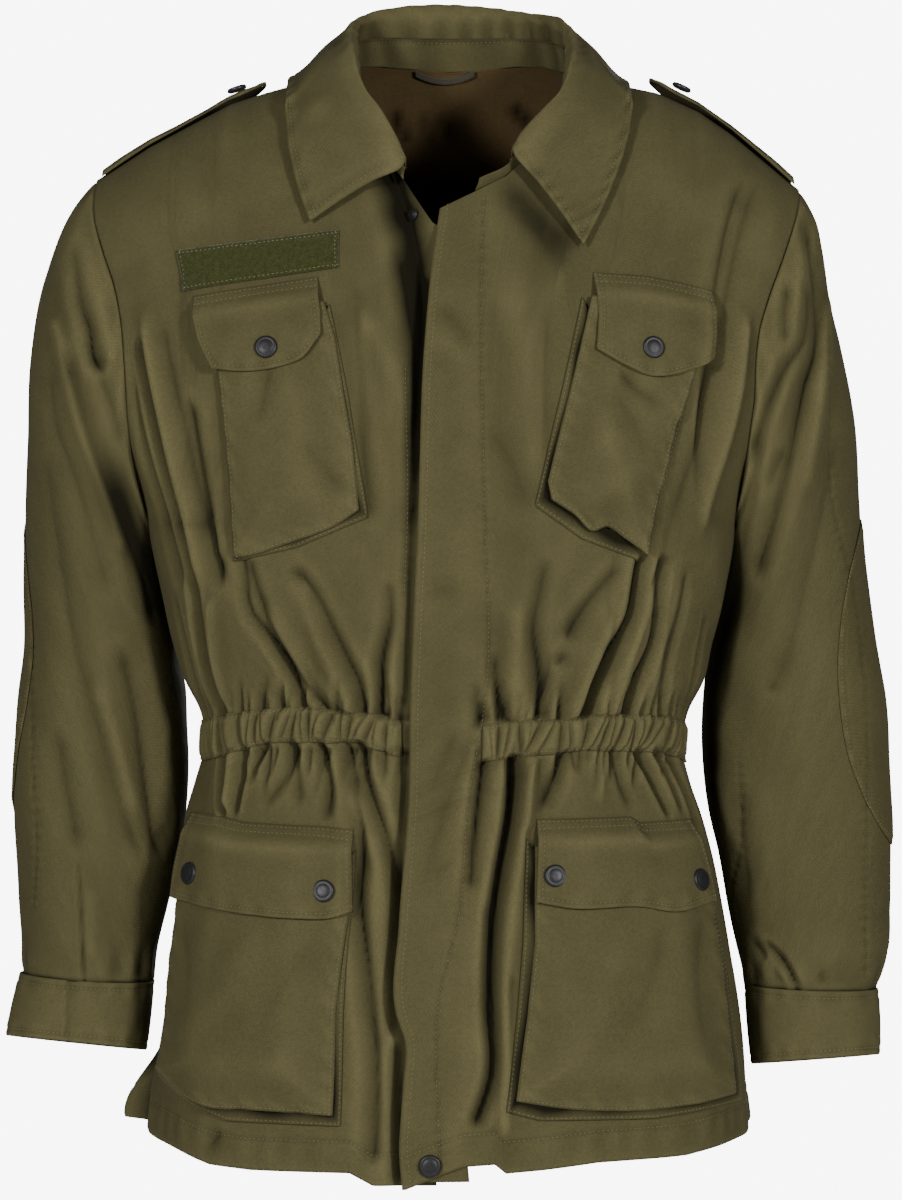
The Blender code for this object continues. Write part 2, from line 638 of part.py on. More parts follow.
def wall(name, outer, inner, finish="cloth", around=False):
    """Closed solid between two grids of points (rows, columns, 3). Around joins the columns into a tube.

    Both grids are split along the same diagonals, which keeps the wall's thickness on twisted squares.
    """
    rows, columns = outer.shape[:2]
    mesh = bpy.data.meshes.new(name)
    body = bmesh.new()
    sheets = [
        [[body.verts.new(point / METRE) for point in row] for row in sheet] for sheet in (outer, inner)
    ]
    steps = columns if around else columns - 1
    for sheet, order in zip(sheets, (1, -1)):
        for i in range(rows - 1):
            for j in range(steps):
                k = (j + 1) % columns
                body.faces.new((sheet[i][j], sheet[i][k], sheet[i + 1][k])[::order])
                body.faces.new((sheet[i][j], sheet[i + 1][k], sheet[i + 1][j])[::order])
    rim = [[(0, j) for j in range(columns)], [(rows - 1, j) for j in range(columns)][::-1]]
    if around:
        rim = [path + path[:1] for path in rim]
    else:
        rim += [[(i, columns - 1) for i in range(rows)], [(i, 0) for i in range(rows)][::-1]]
    for path in rim:
        for (i, j), (m, n) in zip(path, path[1:]):
            body.faces.new((sheets[0][i][j], sheets[1][i][j], sheets[1][m][n], sheets[0][m][n]))
    bmesh.ops.recalc_face_normals(body, faces=body.faces)
    body.to_mesh(mesh)
    body.free()
    mesh.shade_smooth()
    return add_object(name, mesh, finish)


def behind(points, thickness, around=False):
    """The grid moved back along its own normals."""
    if around:
        points = np.concatenate([points[:, -1:], points, points[:, :1]], axis=1)
    normal = np.cross(np.gradient(points, axis=1), np.gradient(points, axis=0))
    moved = points - thickness * normal / np.linalg.norm(normal, axis=-1, keepdims=True)
    return moved[:, 1:-1] if around else moved


def turned(name, profile, point, normal, finish):
    """Round piece from a profile of radius and height, standing on a point along a normal."""
    mesh = bpy.data.meshes.new(name)
    body = bmesh.new()
    line = [body.verts.new((radius / METRE, 0, height / METRE)) for radius, height in profile]
    for start, end in zip(line, line[1:]):
        body.edges.new((start, end))
    body.to_mesh(mesh)
    body.free()
    made = add_object(name, mesh, finish)
    screw = made.modifiers.new("turned", "SCREW")
    screw.steps = screw.render_steps = TURNED_STEPS
    screw.use_merge_vertices = True
    screw.merge_threshold = 0.00001
    screw.use_normal_calculate = True
    up, out = np.array((0, 0, 1.0)), np.asarray(normal, float)
    out /= np.linalg.norm(out)
    axis = np.cross(up, out)
    turned_by = math.atan2(np.linalg.norm(axis), up @ out)
    made.rotation_mode = "AXIS_ANGLE"
    made.rotation_axis_angle = (turned_by, *(axis / max(np.linalg.norm(axis), 1e-9)))
    made.location = np.asarray(point) / METRE
    return made


# ---------------------------------------------------------------- fronts, back and fly
LOWER_ROWS, UPPER_ROWS, CHEST_ROWS, SHOULDER_ROWS = 7, 4, 4, 5
FRONT_COLUMNS, BACK_COLUMNS = 18, 26
ARMPIT_Z, HEM_LEVEL = -300.0, -720.0
CASING_MARGIN = 28.0


def column_heights(hem, top):
    """Heights of one column's points, from the hem to the top edge, the last ones round the shoulder."""
    round_over = 1 - np.sin(np.linspace(0, math.pi / 2, SHOULDER_ROWS + 1))
    start = min(top - 8, max(top - SHOULDER_TURN, ARMPIT_Z + 20))
    return np.concatenate(
        [
            np.linspace(hem, CASING_LOW - CASING_MARGIN, LOWER_ROWS + 1),
            (CASING_LOW, (CASING_LOW + CASING_HIGH) / 2, CASING_HIGH),
            np.linspace(CASING_HIGH + CASING_MARGIN, ARMPIT_Z, UPPER_ROWS + 1)[:-1],
            np.linspace(ARMPIT_Z, start, CHEST_ROWS + 1)[:-1],
            top - (top - start) * round_over,
        ]
    )


def top_of_column(place, line):
    """Height at which a column, a function from z to x, meets the panel's upper edge."""
    xs, zs = np.array(line, float).T
    low, high = ARMPIT_Z, 40.0
    for _ in range(40):
        middle = (low + high) / 2
        if middle < np.interp(place(middle), xs, zs):
            low = middle
        else:
            high = middle
    return low


def shoulder_line(side):
    """Points of the shoulder seam on one side, from the neckline out."""
    return [(x, z) for x, z in zip(SHOULDER_X, SHOULDER_Z) if side * x > abs(NECK_CORNER[side])]


def panel_columns(start_angle, end_angle, facing, top_line, hem_line, shares, corners):
    """Angles and heights of a panel's grid, a column for each share of the way from start to end.

    The nearest columns are moved to end at the neck's corners.
    """

    def angle(share, z):
        return (1 - share) * start_angle(z) + share * end_angle(z)

    def place(share, z):
        at = angle(share, z)
        return float(half_width(z, RIGHT if at < 0 else LEFT, facing) * math.sin(at))

    def top(share):
        return top_of_column(lambda z: place(share, z), top_line)

    shares = np.array(shares, float)
    for corner in corners:
        low, high = (0.0, 1.0) if place(1.0, ARMPIT_Z) > place(0.0, ARMPIT_Z) else (1.0, 0.0)
        for _ in range(30):
            middle = (low + high) / 2
            if place(middle, top(middle)) < corner:
                low = middle
            else:
                high = middle
        shares[np.argmin(np.abs(shares - low))] = low
    hem_x, hem_z = np.array(hem_line, float).T
    hems = [np.interp(place(share, HEM_LEVEL), hem_x, hem_z) for share in shares]
    heights = [column_heights(hem_end, top(share)) for hem_end, share in zip(hems, shares)]
    angles = [[float(angle(share, z)) for z in column] for share, column in zip(shares, heights)]
    return np.array(angles).T, np.array(heights).T


def part_edges(points, facing, side_sign=0):
    """Draws a panel back from its seams, so that neighbours stay a gap apart."""
    half = SEAM_GAP / 2
    points[-1, :, 1] += facing * half
    points[-1, :, 2] -= half
    for column, sign in ((0, RIGHT), (-1, LEFT)):
        if side_sign in (0, sign):
            below = points[:, column, 2] <= ARMPIT_Z
            points[:, column, 1] += np.where(below, facing * half, 0)
            points[:, column, 0] -= np.where(below, 0, sign * half)
    return points


def free_edge_x(z, side):
    edge = smooth(z, FLY["z"], FLY["x"])
    return edge + (FLY_UNDERLAP if side == RIGHT else 0)


def front(side):
    neck = NECK_RIGHT_FRONT if side == RIGHT else NECK_LEFT_FRONT
    hem = HEM_RIGHT_FRONT if side == RIGHT else HEM_LEFT_FRONT
    top_line = sorted(shoulder_line(side) + list(neck))
    shares = np.linspace(0, 1, FRONT_COLUMNS)
    if side == RIGHT:
        shares = shares[::-1]
    angles, heights = panel_columns(
        lambda z: angle_of(free_edge_x(z, side), z, FRONT),
        lambda z: edge_angle(z, side, FRONT),
        FRONT, top_line, hem, shares, (NECK_CORNER[side],),
    )
    x = body_point(angles, heights, FRONT)[..., 0]
    grow = panel_grow(x, heights, side)
    sheets = [
        part_edges(body_point(angles, heights, FRONT, grow - inset), FRONT, side) for inset in (0, CLOTH)
    ]
    wall("front_right" if side == RIGHT else "front_left", *sheets)


def back():
    top_line = sorted(shoulder_line(RIGHT) + list(NECK_BACK) + shoulder_line(LEFT))
    angles, heights = panel_columns(
        lambda z: edge_angle(z, RIGHT, BACK),
        lambda z: edge_angle(z, LEFT, BACK),
        BACK, top_line, HEM_BACK, np.linspace(0, 1, BACK_COLUMNS), NECK_CORNER.values(),
    )
    x = body_point(angles, heights, BACK)[..., 0]
    grow = back_folds(x, heights) + hem_flare(angles, heights)
    sheets = [part_edges(body_point(angles, heights, BACK, grow - inset), BACK) for inset in (0, CLOTH)]
    wall("back", *sheets)


def fly_facing():
    """Inner layer of the fly, between the left front's edge and the right front."""
    heights = np.r_[np.linspace(FACING_FOOT, CASING_LOW, 9), np.linspace(CASING_HIGH, FACING_HEAD, 12)]
    inward = np.linspace(FACING_START, FLY_WIDTH, 5)
    z = np.repeat(heights[:, None], len(inward), 1)
    x = smooth(z, FLY["z"], FLY["x"]) + inward
    angles = angle_of(x, z, FRONT)
    outer = fly_lift(x, z) + folds(FRONT_FOLDS, x, z) - CLOTH - PANEL_GAP
    sheets = [body_point(angles, z, FRONT, outer - inset) for inset in (0, CLOTH)]
    wall("fly_facing", *sheets)


# ---------------------------------------------------------------- casing
def casing_columns(side):
    """Angles of a front casing's gathers at its two edges, carried on round to the side seam."""
    pairs = sorted(CASING_GATHERS[side])
    middle = (CASING_LOW + CASING_HIGH) / 2
    half = half_width(np.array(middle), side, FRONT)
    angles = [tuple(float(angle_of(np.array(x), np.array(middle), FRONT)) for x in pair) for pair in pairs]
    outer = min(angles) if side == RIGHT else max(angles)
    step = GATHER_PITCH / float(half) * SIDE_PITCH
    while abs(outer[0]) + step < math.pi / 2 - CASING_END:
        outer = tuple(angle + side * step for angle in outer)
        angles.append(outer)
    return sorted(angles)


def with_crests(angles):
    """Puts a crest between each two gathers: angle at top, at bottom, and 1 for a crest."""
    columns = []
    for first, second in zip(angles, angles[1:]):
        columns += [(*first, 0.0), (*((a + b) / 2 for a, b in zip(first, second)), 1.0)]
    return np.array(columns + [(*angles[-1], 0.0)])


def casing_piece(name, columns, facing, top_z, bottom_z, grow):
    """Band of cloth laid over the waist, pinched at its two sewn edges and gathered between them."""
    profile = ((0.0, 0.35), (0.3, 1.0), (0.7, 1.0), (1.0, 0.35))
    outer, inner = [], []
    for share, fullness in profile:
        angle = (1 - share) * columns[:, 0] + share * columns[:, 1]
        z = (1 - share) * top_z + share * bottom_z
        lift = grow(angle, z) + PANEL_GAP
        raised = GATHER_DEPTH * fullness * columns[:, 2]
        inner.append(body_point(angle, z, facing, lift + 0.5 * raised))
        outer.append(body_point(angle, z, facing, lift + CLOTH + raised))
    wall(name, np.array(outer), np.array(inner))


def casings():
    for side in (RIGHT, LEFT):
        columns = with_crests(casing_columns(side))
        if side == LEFT:
            columns[0, :2] = columns[0, :2].mean()
        top_x, top_z = np.array(CASING_TOP[side], float).T
        bottom_x, bottom_z = np.array(CASING_BOTTOM[side], float).T
        middle = np.full(len(columns), (CASING_LOW + CASING_HIGH) / 2)
        tops = np.interp(body_point(columns[:, 0], middle, FRONT)[:, 0], top_x, top_z)
        bottoms = np.interp(body_point(columns[:, 1], middle, FRONT)[:, 0], bottom_x, bottom_z)

        def grow(angle, z, side=side):
            x = body_point(angle, z, FRONT)[..., 0]
            return panel_grow(x, z, side)

        casing_piece("casing_right" if side == RIGHT else "casing_left", columns, FRONT, tops, bottoms, grow)
    ends = math.pi / 2 - CASING_END
    starts = np.linspace(-ends, ends, BACK_GATHERS)
    columns = with_crests(
        [(at, at + BACK_GATHER_LEAN * math.sin(2.7 * i)) for i, at in enumerate(starts)]
    )
    at, top, bottom = np.array(BACK_CASING_EDGES, float).T
    tops, bottoms = np.interp(columns[:, 0], at, top), np.interp(columns[:, 0], at, bottom)

    def grow(angle, z):
        return back_folds(body_point(angle, z, BACK)[..., 0], z)

    casing_piece("casing_back", columns, BACK, tops, bottoms, grow)


# ---------------------------------------------------------------- sleeves
SLEEVE_AROUND = 16
PATCH_GAP = 2.3
SEAM_BOW, SEAM_BOW_FADE = 0.7, 0.25  # share of the armhole's bow in the first ring, and its loss a ring
FOLD_TURN = 2.5  # how fast the folds give way from the sleeve's front to its back
BEHIND_DROP, BEHIND_HEIGHT = 18.0, 0.7  # the folds behind are lower down and shallower


def ring_points(row, side, angles, inset=0.0, tilt=0.0):
    """Ring of a sleeve: angle 0 is its outer side and 90 degrees its front."""
    outer = np.array((side * row[0], row[1], row[2]), float)
    inner = np.array((side * row[3], row[4], row[5]), float)
    middle, arm = (outer + inner) / 2, (outer - inner) / 2
    arm = arm * (1 - inset / np.linalg.norm(arm))
    depth = (row[6] - inset) * np.sin(angles)
    points = middle + np.cos(angles)[:, None] * arm
    points[:, 1] -= depth
    points[:, 2] += tilt * np.sin(angles)
    return points


def armhole_points(side, angles, inset=0.0):
    """Ring on the armhole seam, just outside the panels' edges."""
    heights, distances = ARMHOLE[side].T
    middle, half = (heights[0] + heights[-1]) / 2, (heights[-1] - heights[0]) / 2
    z = middle + half * np.cos(angles)
    y = smooth(z, BODY["z"], BODY["widest"]) - ARMHOLE_DEPTH * np.sin(angles)
    x = side * (smooth(z, heights, distances) + ARMHOLE_GAP)
    points = np.stack([x, y, z], -1)
    centre = np.array((0, smooth(middle, BODY["z"], BODY["widest"]), middle))
    away = points - centre
    away[:, 0] = 0
    return points - inset * away / np.linalg.norm(away, axis=1, keepdims=True)


def sleeve_grid(side, angles, inset=0.0):
    """The sleeve's rings: (rings, angles, 3), the first on the armhole seam."""
    rings = [armhole_points(side, angles, inset)]
    seam = ring_points((*_seam_ends(side), ARMHOLE_DEPTH), side, angles, 0)
    bow = (armhole_points(side, angles) - seam)[:, 0]
    for k, row in enumerate(SLEEVE_RINGS[side]):
        ring = ring_points(row, side, angles, inset)
        ring[:, 0] += bow * max(0.0, SEAM_BOW - SEAM_BOW_FADE * k)
        rings.append(ring)
    return np.array(rings)


def _seam_ends(side):
    heights, distances = ARMHOLE[side].T
    top_y, bottom_y = (float(smooth(z, BODY["z"], BODY["widest"])) for z in (heights[-1], heights[0]))
    return distances[-1], top_y, heights[-1], distances[0], bottom_y, heights[0]


def fold_sleeve(points, side, angles):
    """Adds the folds, at full height on the front and as a shallower echo behind."""
    facing = np.sin(angles)[None]
    x, z = points[..., 0], points[..., 2]
    ahead = folds(SLEEVE_FOLDS[side], x, z) * ease(facing * FOLD_TURN)
    behind_rows = [
        (deep_x, deep_z - BEHIND_DROP, faint_x, faint_z - BEHIND_DROP, half, high * BEHIND_HEIGHT)
        for deep_x, deep_z, faint_x, faint_z, half, high in SLEEVE_FOLDS[side]
    ]
    height = ahead + folds(behind_rows, x, z) * ease(-facing * FOLD_TURN)
    middle = points.mean(axis=1, keepdims=True)
    away = points - middle
    height[0] = 0
    return points + height[..., None] * away / np.linalg.norm(away, axis=-1, keepdims=True)


def sleeves():
    angles = np.linspace(0, 2 * math.pi, SLEEVE_AROUND, endpoint=False)
    for side, name in ((RIGHT, "right"), (LEFT, "left")):
        sheets = [fold_sleeve(sleeve_grid(side, angles, inset), side, angles) for inset in (0, CLOTH)]
        wall(f"sleeve_{name}", *sheets, around=True)
        cuff = [
            np.array([ring_points(row, side, angles, inset, CUFF_TILT) for row in CUFF_RINGS[side]])
            for inset in (0, DOUBLE)
        ]
        for sheet in cuff:
            sheet[0, :, 2] -= CUFF_TILT * np.sin(angles)
        wall(f"cuff_{name}", *cuff, around=True)
        elbow_patch(f"elbow_patch_{name}", side)


def sleeve_at(side, ring, angle, lift):
    """Point on the sleeve at a fractional ring and an angle, lifted off it."""
    fine = np.linspace(0, 2 * math.pi, 73)[:-1]
    grid = fold_sleeve(sleeve_grid(side, fine), side, fine)
    middle = grid.mean(axis=1)
    turn_share = (angle / (2 * math.pi)) % 1.0 * len(fine)
    j, i = np.floor(turn_share).astype(int), np.clip(np.floor(ring).astype(int), 0, len(grid) - 2)
    s, t = (turn_share - j)[..., None], (ring - i)[..., None]
    k = (j + 1) % len(fine)
    j = j % len(fine)
    upper, lower = ((1 - s) * grid[m, j] + s * grid[m, k] for m in (i, i + 1))
    point = (1 - t) * upper + t * lower
    away = point - ((1 - t) * middle[i] + t * middle[i + 1])
    return point + lift * away / np.linalg.norm(away, axis=-1, keepdims=True)


def elbow_patch(name, side):
    """Oval patch over the elbow."""
    ring, angle, half_rings, half_angle = ELBOW_PATCH[side]
    u, v = np.meshgrid(np.linspace(-1, 1, 9), np.linspace(-1, 1, 7))
    across, down = u * np.sqrt(1 - v * v / 2), v * np.sqrt(1 - u * u / 2)
    angles = np.radians(angle + half_angle * across)
    rings = ring + half_rings * down
    sheets = [sleeve_at(side, rings, angles, lift) for lift in (PATCH_GAP + CLOTH, PATCH_GAP)]
    wall(name, *sheets, finish="patch_cloth")


# ---------------------------------------------------------------- collar
def collar_stations(count):
    """The collar's rows, evened out along the roll: neck, roll and edge points."""
    neck, edge = [], []
    roll = np.array([row[2:5] for row in COLLAR_ROWS], float)
    for row, neck_face in zip(COLLAR_ROWS, neck_faces()):
        x, z = row[:2]
        neck.append(body_point(angle_of(x, z, neck_face), z, neck_face))
        x, z, face = row[5:]
        edge.append(body_point(angle_of(x, z, face), z, face, LEAF_CLEAR))
    place = np.r_[0, np.cumsum(np.linalg.norm(np.diff(roll, axis=0), axis=1))]
    at = np.linspace(0, place[-1], count)
    return [
        np.stack([smooth(at, place, column) for column in np.array(points).T], -1)
        for points in (neck, roll, edge)
    ]


def neck_faces():
    """The neckline lies on the back panel between the shoulder seams and on the fronts outside them."""
    return [BACK if 5 <= i <= 11 else FRONT for i in range(len(COLLAR_ROWS))]


def outward(points):
    away = points[:, :2] - np.array(NECK_MIDDLE)
    away = away / np.linalg.norm(away, axis=1, keepdims=True)
    return np.concatenate([away, np.zeros((len(points), 1))], axis=1)


def collar():
    """Stand and leaf are cut from one sheet of points, parted at the seam between them."""
    neck, roll, edge = collar_stations(COLLAR_COLUMNS)
    out = outward(roll)
    up = np.array((0, 0, 1.0))
    height = np.linalg.norm(roll - neck, axis=1, keepdims=True)
    drop = np.minimum(ROLL_DROP, height / 4)
    neck = neck + up * NECK_GAP
    seam = neck + STAND_SHARE * (roll - neck)
    near, far = roll - out * ROLL_HALF - up * drop, roll + out * ROLL_HALF - up * drop
    bow = out * LEAF_BOW_OUT + up * LEAF_BOW_UP
    leaf = [(1 - s) * far + s * edge + bow * s * (1 - s) for s in LEAF_SHARES]
    rows = [neck, (neck + seam) / 2, seam, (seam + near) / 2, near, roll + up * ROLL_RISE, far]
    rows += [clear_of_body(points, LEAF_CLEAR) for points in leaf] + [clear_of_body(edge, LEAF_CLEAR)]
    outer = np.array(rows)
    last = outer[:, -1:]
    outer = np.concatenate([outer, last + (np.array(STAND_END) - last[0])], axis=1)
    inner = behind(outer, -DOUBLE)
    for i in range(NEAR_ROW + 1):
        inner[i] = outer[i] - outward(outer[i]) * DOUBLE
    climb = outer[3] - outer[1]
    part = climb / np.linalg.norm(climb, axis=1, keepdims=True) * LEAF_SEAM_GAP / 2
    for name, sign, rows, columns in (
        ("collar_stand", -1, slice(0, SEAM_ROW + 1), slice(None)),
        ("collar", 1, slice(SEAM_ROW, None), slice(0, -1)),
    ):
        sheets = []
        for sheet in (outer, inner):
            moved = sheet.copy()
            moved[SEAM_ROW] += sign * part
            sheets.append(moved[rows, columns])
        wall(name, *sheets)


def hanger_loop():
    """Tape sewn into the neck seam at both ends, sagging between them."""
    share = np.linspace(0, 1, 9)
    x = LOOP_ENDS[0] + (LOOP_ENDS[1] - LOOP_ENDS[0]) * share
    middle = LOOP_Z - LOOP_SAG * 4 * share * (1 - share)
    sheets = []
    for inset in (LOOP_INSET, LOOP_INSET + TAPE):
        rows = [
            body_point(angle_of(x, middle + half, BACK), middle + half, BACK, -inset)
            for half in (LOOP_WIDTH / 2, -LOOP_WIDTH / 2)
        ]
        sheets.append(np.array(rows))
    wall("hanger_loop", *sheets, finish="tape")


# ---------------------------------------------------------------- shoulder straps
def strap(name, side):
    start, tip, half, middle_y, low_lift, high_lift = STRAP[side]
    share = np.array(STRAP_SHARES)
    x = start + (tip - start) * share
    nose = np.sqrt(np.clip(1 - (np.clip(share - STRAP_NOSE, 0, 1) / STRAP_NOSE_LENGTH) ** 2, 0, 1))
    across = np.linspace(-1, 1, 5)
    y = middle_y + across[None] * (half * nose)[:, None]
    lift = (low_lift + (high_lift - low_lift) * share**2)[:, None]
    x = np.repeat(x[:, None], len(across), 1)
    z = shoulder_top(x, y) + lift
    outer = np.stack([x, y, z], -1)
    inner = outer - np.array((0, 0, DOUBLE))
    wall(name, outer, inner)


def strap_button(name, side):
    x = STRAP_BUTTON_X[side]
    start, tip, _, y, low_lift, high_lift = STRAP[side]
    share = (x - start) / (tip - start)
    lift = low_lift + (high_lift - low_lift) * share**2
    slope = (shoulder_top(x + 5, y) - shoulder_top(x - 5, y)) / 10
    normal = np.array((-slope, 0, 1.0))
    point = np.array((x, y, float(shoulder_top(x, y)) + lift)) + SEAM_GAP * 2 * normal
    profile = [(BUTTON_RADIUS * out, BUTTON_HEIGHT * up) for out, up in BUTTON_PROFILE]
    turned(name, profile, point, normal, "button_plastic")


# ---------------------------------------------------------------- pockets and what lies on the fronts
BELLOWS_LIFT = 3.0
BELLOWS_WIDTH = 12.0
SNAP_GAP = 0.9
POCKET_GAP = 0.9
POCKET_LIFT = BELLOWS_LIFT + POCKET_GAP + CLOTH
FLAP_LIFT = POCKET_LIFT + POCKET_GAP + CLOTH
# columns, the wall's rows, the flap's rows and the points round the bellows
CHEST_GRID, HIP_GRID = (8, 8, 5, 27), (11, 9, 5, 37)


def laid(name, grid, side, outer_lift, thickness, finish="cloth"):
    """Piece of cloth lying over a front, its outer face lifted off the panel."""
    x, z = grid[..., 0], grid[..., 1]
    sheets = [on_front(x, z, side, outer_lift), on_front(x, z, side, outer_lift - thickness)]
    wall(name, *sheets, finish=finish)


def pocket(kind, side, pieces, sizes):
    name = "right" if side == RIGHT else "left"
    columns, wall_rows, flap_rows, rim_points = sizes
    rim = along(pieces["rim"], np.linspace(0, 1, rim_points))
    inward = pieces["middle"] - rim
    inner_rim = rim + inward * (BELLOWS_WIDTH / np.linalg.norm(inward, axis=1))[:, None]
    laid(f"{kind}_bellows_{name}", np.array([rim, inner_rim]), side, BELLOWS_LIFT, CLOTH)
    grid = patch(pieces["wall"], columns, wall_rows)
    laid(f"{kind}_pocket_{name}", grid, side, POCKET_LIFT, CLOTH)
    grid = patch(pieces["flap"], columns, flap_rows)
    lift = np.full(grid.shape[:2], FLAP_LIFT)
    lift[0] = PANEL_GAP + CLOTH
    laid(f"{kind}_flap_{name}", grid, side, lift, CLOTH)
    for suffix, (x, z) in pieces["snaps"].items():
        snap(f"{kind}_snap_{name}{suffix}", x, z, side, FLAP_LIFT + SNAP_GAP)


def snap(name, x, z, side, lift, radius=SNAP_RADIUS):
    """Snap fastener's cap: a low dome with a rounded rim."""
    x, z = np.array(float(x)), np.array(float(z))
    point = on_front(x, z, side, lift)
    across, up = on_front(x + 3, z, side, lift) - point, on_front(x, z + 3, side, lift) - point
    profile = [(radius * out, SNAP_HEIGHT * up) for out, up in SNAP_PROFILE]
    turned(name, profile, point, np.cross(across, up), "snap_metal")


def fittings():
    corners = NAME_STRIP
    edges = (corners[:2], corners[2:], (corners[0], corners[2]), (corners[1], corners[3]))
    laid("name_strip", patch(edges, 10, 3), RIGHT, PANEL_GAP + PILE, PILE, "loop_pile")
    for side in (RIGHT, LEFT):
        pocket("chest", side, CHEST_POCKET[side], CHEST_GRID)
        pocket("hip", side, HIP_POCKET[side], HIP_GRID)
    snap("hem_snap", *HEM_SNAP, LEFT, SNAP_GAP)
    snap("neck_snap", *NECK_SNAP, RIGHT, SNAP_GAP, radius=NECK_SNAP_RADIUS)


def main():
    for obj in list(bpy.data.objects):
        bpy.data.objects.remove(obj, do_unlink=True)
    collection = bpy.data.collections.new("field_jacket")
    bpy.context.scene.collection.children.link(collection)
    collection.objects.link(bpy.data.objects.new("field_jacket_middle", None))
    front(RIGHT)
    front(LEFT)
    back()
    fly_facing()
    casings()
    sleeves()
    collar()
    hanger_loop()
    for side, name in ((RIGHT, "right"), (LEFT, "left")):
        strap(f"shoulder_strap_{name}", side)
        strap_button(f"strap_button_{name}", side)
    fittings()


main()
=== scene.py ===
"""Looks of the field jacket: thin cloth shells on the solids' form, with their creases, sewing and finishes.

Tables are in millimetres, as in the part's own source, and the meshes in metres. +Z is up, the front faces
-Y, +X is the wearer's left, and the origin is the middle of the neck opening.
"""

import math

import bpy
import numpy as np
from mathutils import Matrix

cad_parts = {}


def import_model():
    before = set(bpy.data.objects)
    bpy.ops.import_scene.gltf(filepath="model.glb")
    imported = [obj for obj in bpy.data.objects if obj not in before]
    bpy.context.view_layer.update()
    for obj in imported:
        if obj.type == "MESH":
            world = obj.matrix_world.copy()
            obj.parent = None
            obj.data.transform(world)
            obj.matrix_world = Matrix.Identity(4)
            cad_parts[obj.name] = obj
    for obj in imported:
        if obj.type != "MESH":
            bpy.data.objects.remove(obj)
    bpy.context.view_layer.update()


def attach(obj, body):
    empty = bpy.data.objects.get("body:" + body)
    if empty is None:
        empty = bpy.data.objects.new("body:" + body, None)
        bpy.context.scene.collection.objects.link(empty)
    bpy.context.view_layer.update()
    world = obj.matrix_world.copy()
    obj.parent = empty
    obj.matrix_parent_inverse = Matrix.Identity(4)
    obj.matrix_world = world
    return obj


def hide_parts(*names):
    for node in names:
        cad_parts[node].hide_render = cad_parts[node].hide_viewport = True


METRE = 1000.0  # millimetres
RIGHT, LEFT = -1, 1
FRONT, BACK = -1, 1
SIDE_NAMES = {RIGHT: "right", LEFT: "left"}

# ---------------------------------------------------------------- stage, in metres
FLOOR_Z, FLOOR_HALF = -1.6, 5.0
AMBIENT, KEY_POWER, BACKGROUND = 0.125, 107.0, 8.0
LAMPS = (  # name, place, share of the key's power
    ("lamp_left", (1.7, -2.7, 0.3), 0.52),
    ("lamp_right", (-1.5, -2.7, 0.3), 0.48),
    ("lamp_behind", (0.6, 3.0, 0.5), 0.30),
)
LAMP_SIZE, LAMP_TARGET = 0.45, (0.0, 0.0, -0.35)
SENSOR_MM, CAMERA_DISTANCE, FRAME_HEIGHT = 36.0, 3.2, 0.828
CAMERA_X, CAMERA_Z = 0.0014, -0.3505

# ---------------------------------------------------------------- sizes shared with the solids
CLOTH, DOUBLE, SEAM_GAP = 1.4, 2.0, 0.3
ROUNDNESS, SHOULDER_TURN = 2.45, 80.0
ARMHOLE_GAP, ARMHOLE_DEPTH = -0.2, 68.0
ARMPIT_POWER = 0.8  # 0.5 is a round armhole, and more draws it to a point at the armpit
FLY_UNDERLAP, FLY_WIDTH = 22.0, 44.0
SNAP_RADIUS, BUTTON_RADIUS = 7.6, 7.0
ARMPIT_Z, HEM_LEVEL = -300.0, -720.0
CASING_MIDDLE = -440.0

# ---------------------------------------------------------------- grids of the fine cloth: rows, columns
FRONT_GRID, BACK_GRID, FACING_GRID = (341, 151), (301, 201), (301, 13)
SLEEVE_ROWS, SLEEVE_AROUND, CUFF_ROWS, PATCH_GRID = 241, 160, 33, 61
COLLAR_GRID, STAND_GRID, STRAP_GRID, LOOP_GRID = (61, 261), (17, 261), (91, 33), (9, 61)
CASING_ROWS, CASING_COLUMNS, BACK_CASING_COLUMNS, BELLOWS_ROWS = 25, 361, 401, 9
# Columns and rows of a pocket's wall and of its flap, and points round the bellows.
POCKET_GRIDS = {"chest": ((61, 91), (61, 41), 301), "hip": ((81, 101), (81, 41), 401)}
STRIP_GRID, ROUND_STEPS = (121, 33), 56
FREE_EDGES, ALL_ROUND = ("bottom", "near", "far"), ("top", "bottom", "near", "far")

# ---------------------------------------------------------------- creases, folds and shadows
VALLEY_POWER, RIDGE_POWER, CREASE_GAIN = 1.15, 2.0, 1.95
NARROWED, NARROWEST = 0.78, 3.6  # share of a front crease's width, and the half width up to which it stays
SHOULDER, SHOULDER_AT, CREASE_MARGIN = 0.16, 2.2, 4.5  # the ridge beside a crease, and where a crease ends
CREASE_TAPER = 2.6  # half widths over which a crease starts and ends
SHADE_TAPER = 0.3  # share of its length over which a painted shadow starts and ends
SEAM_CALM = 15.0  # distance from a seam at which the creases have their full height
CASING_CALM, POCKET_CALM = 0.85, 0.75  # how much of the folds the casing and the pockets hold flat
SLEEVE_GAIN = 0.62  # of the sleeves' creases beside the body's
PIT_Z, PIT_REACH, PIT_TURN, PIT_CALM = -325.0, 42.0, 0.75, 0.9  # where the sleeve lies against the body
BEHIND_DROP = 18.0  # of the creases on the sleeves' backs under those in front
COLLAR_CREASES = ((9, 1.2, 0.2, (60, 45), (85, 12)), (9, 1.2, 0.2, (330, 40), (350, 10)))
FADE_DISTANCES = (4.0, 15.0)  # over which a fold is deep or a ridge high
PAINTED_FOLD_SHADE = (-1.8, 3.2, 1.35, 0.115)  # painted light and shade: the colour is painted paler on a ridge this high, and darker in a fold this deep
BELLOWS_SHADE = 5.0  # painted shade: counts as this deep a fold where the bellows go in under the pocket
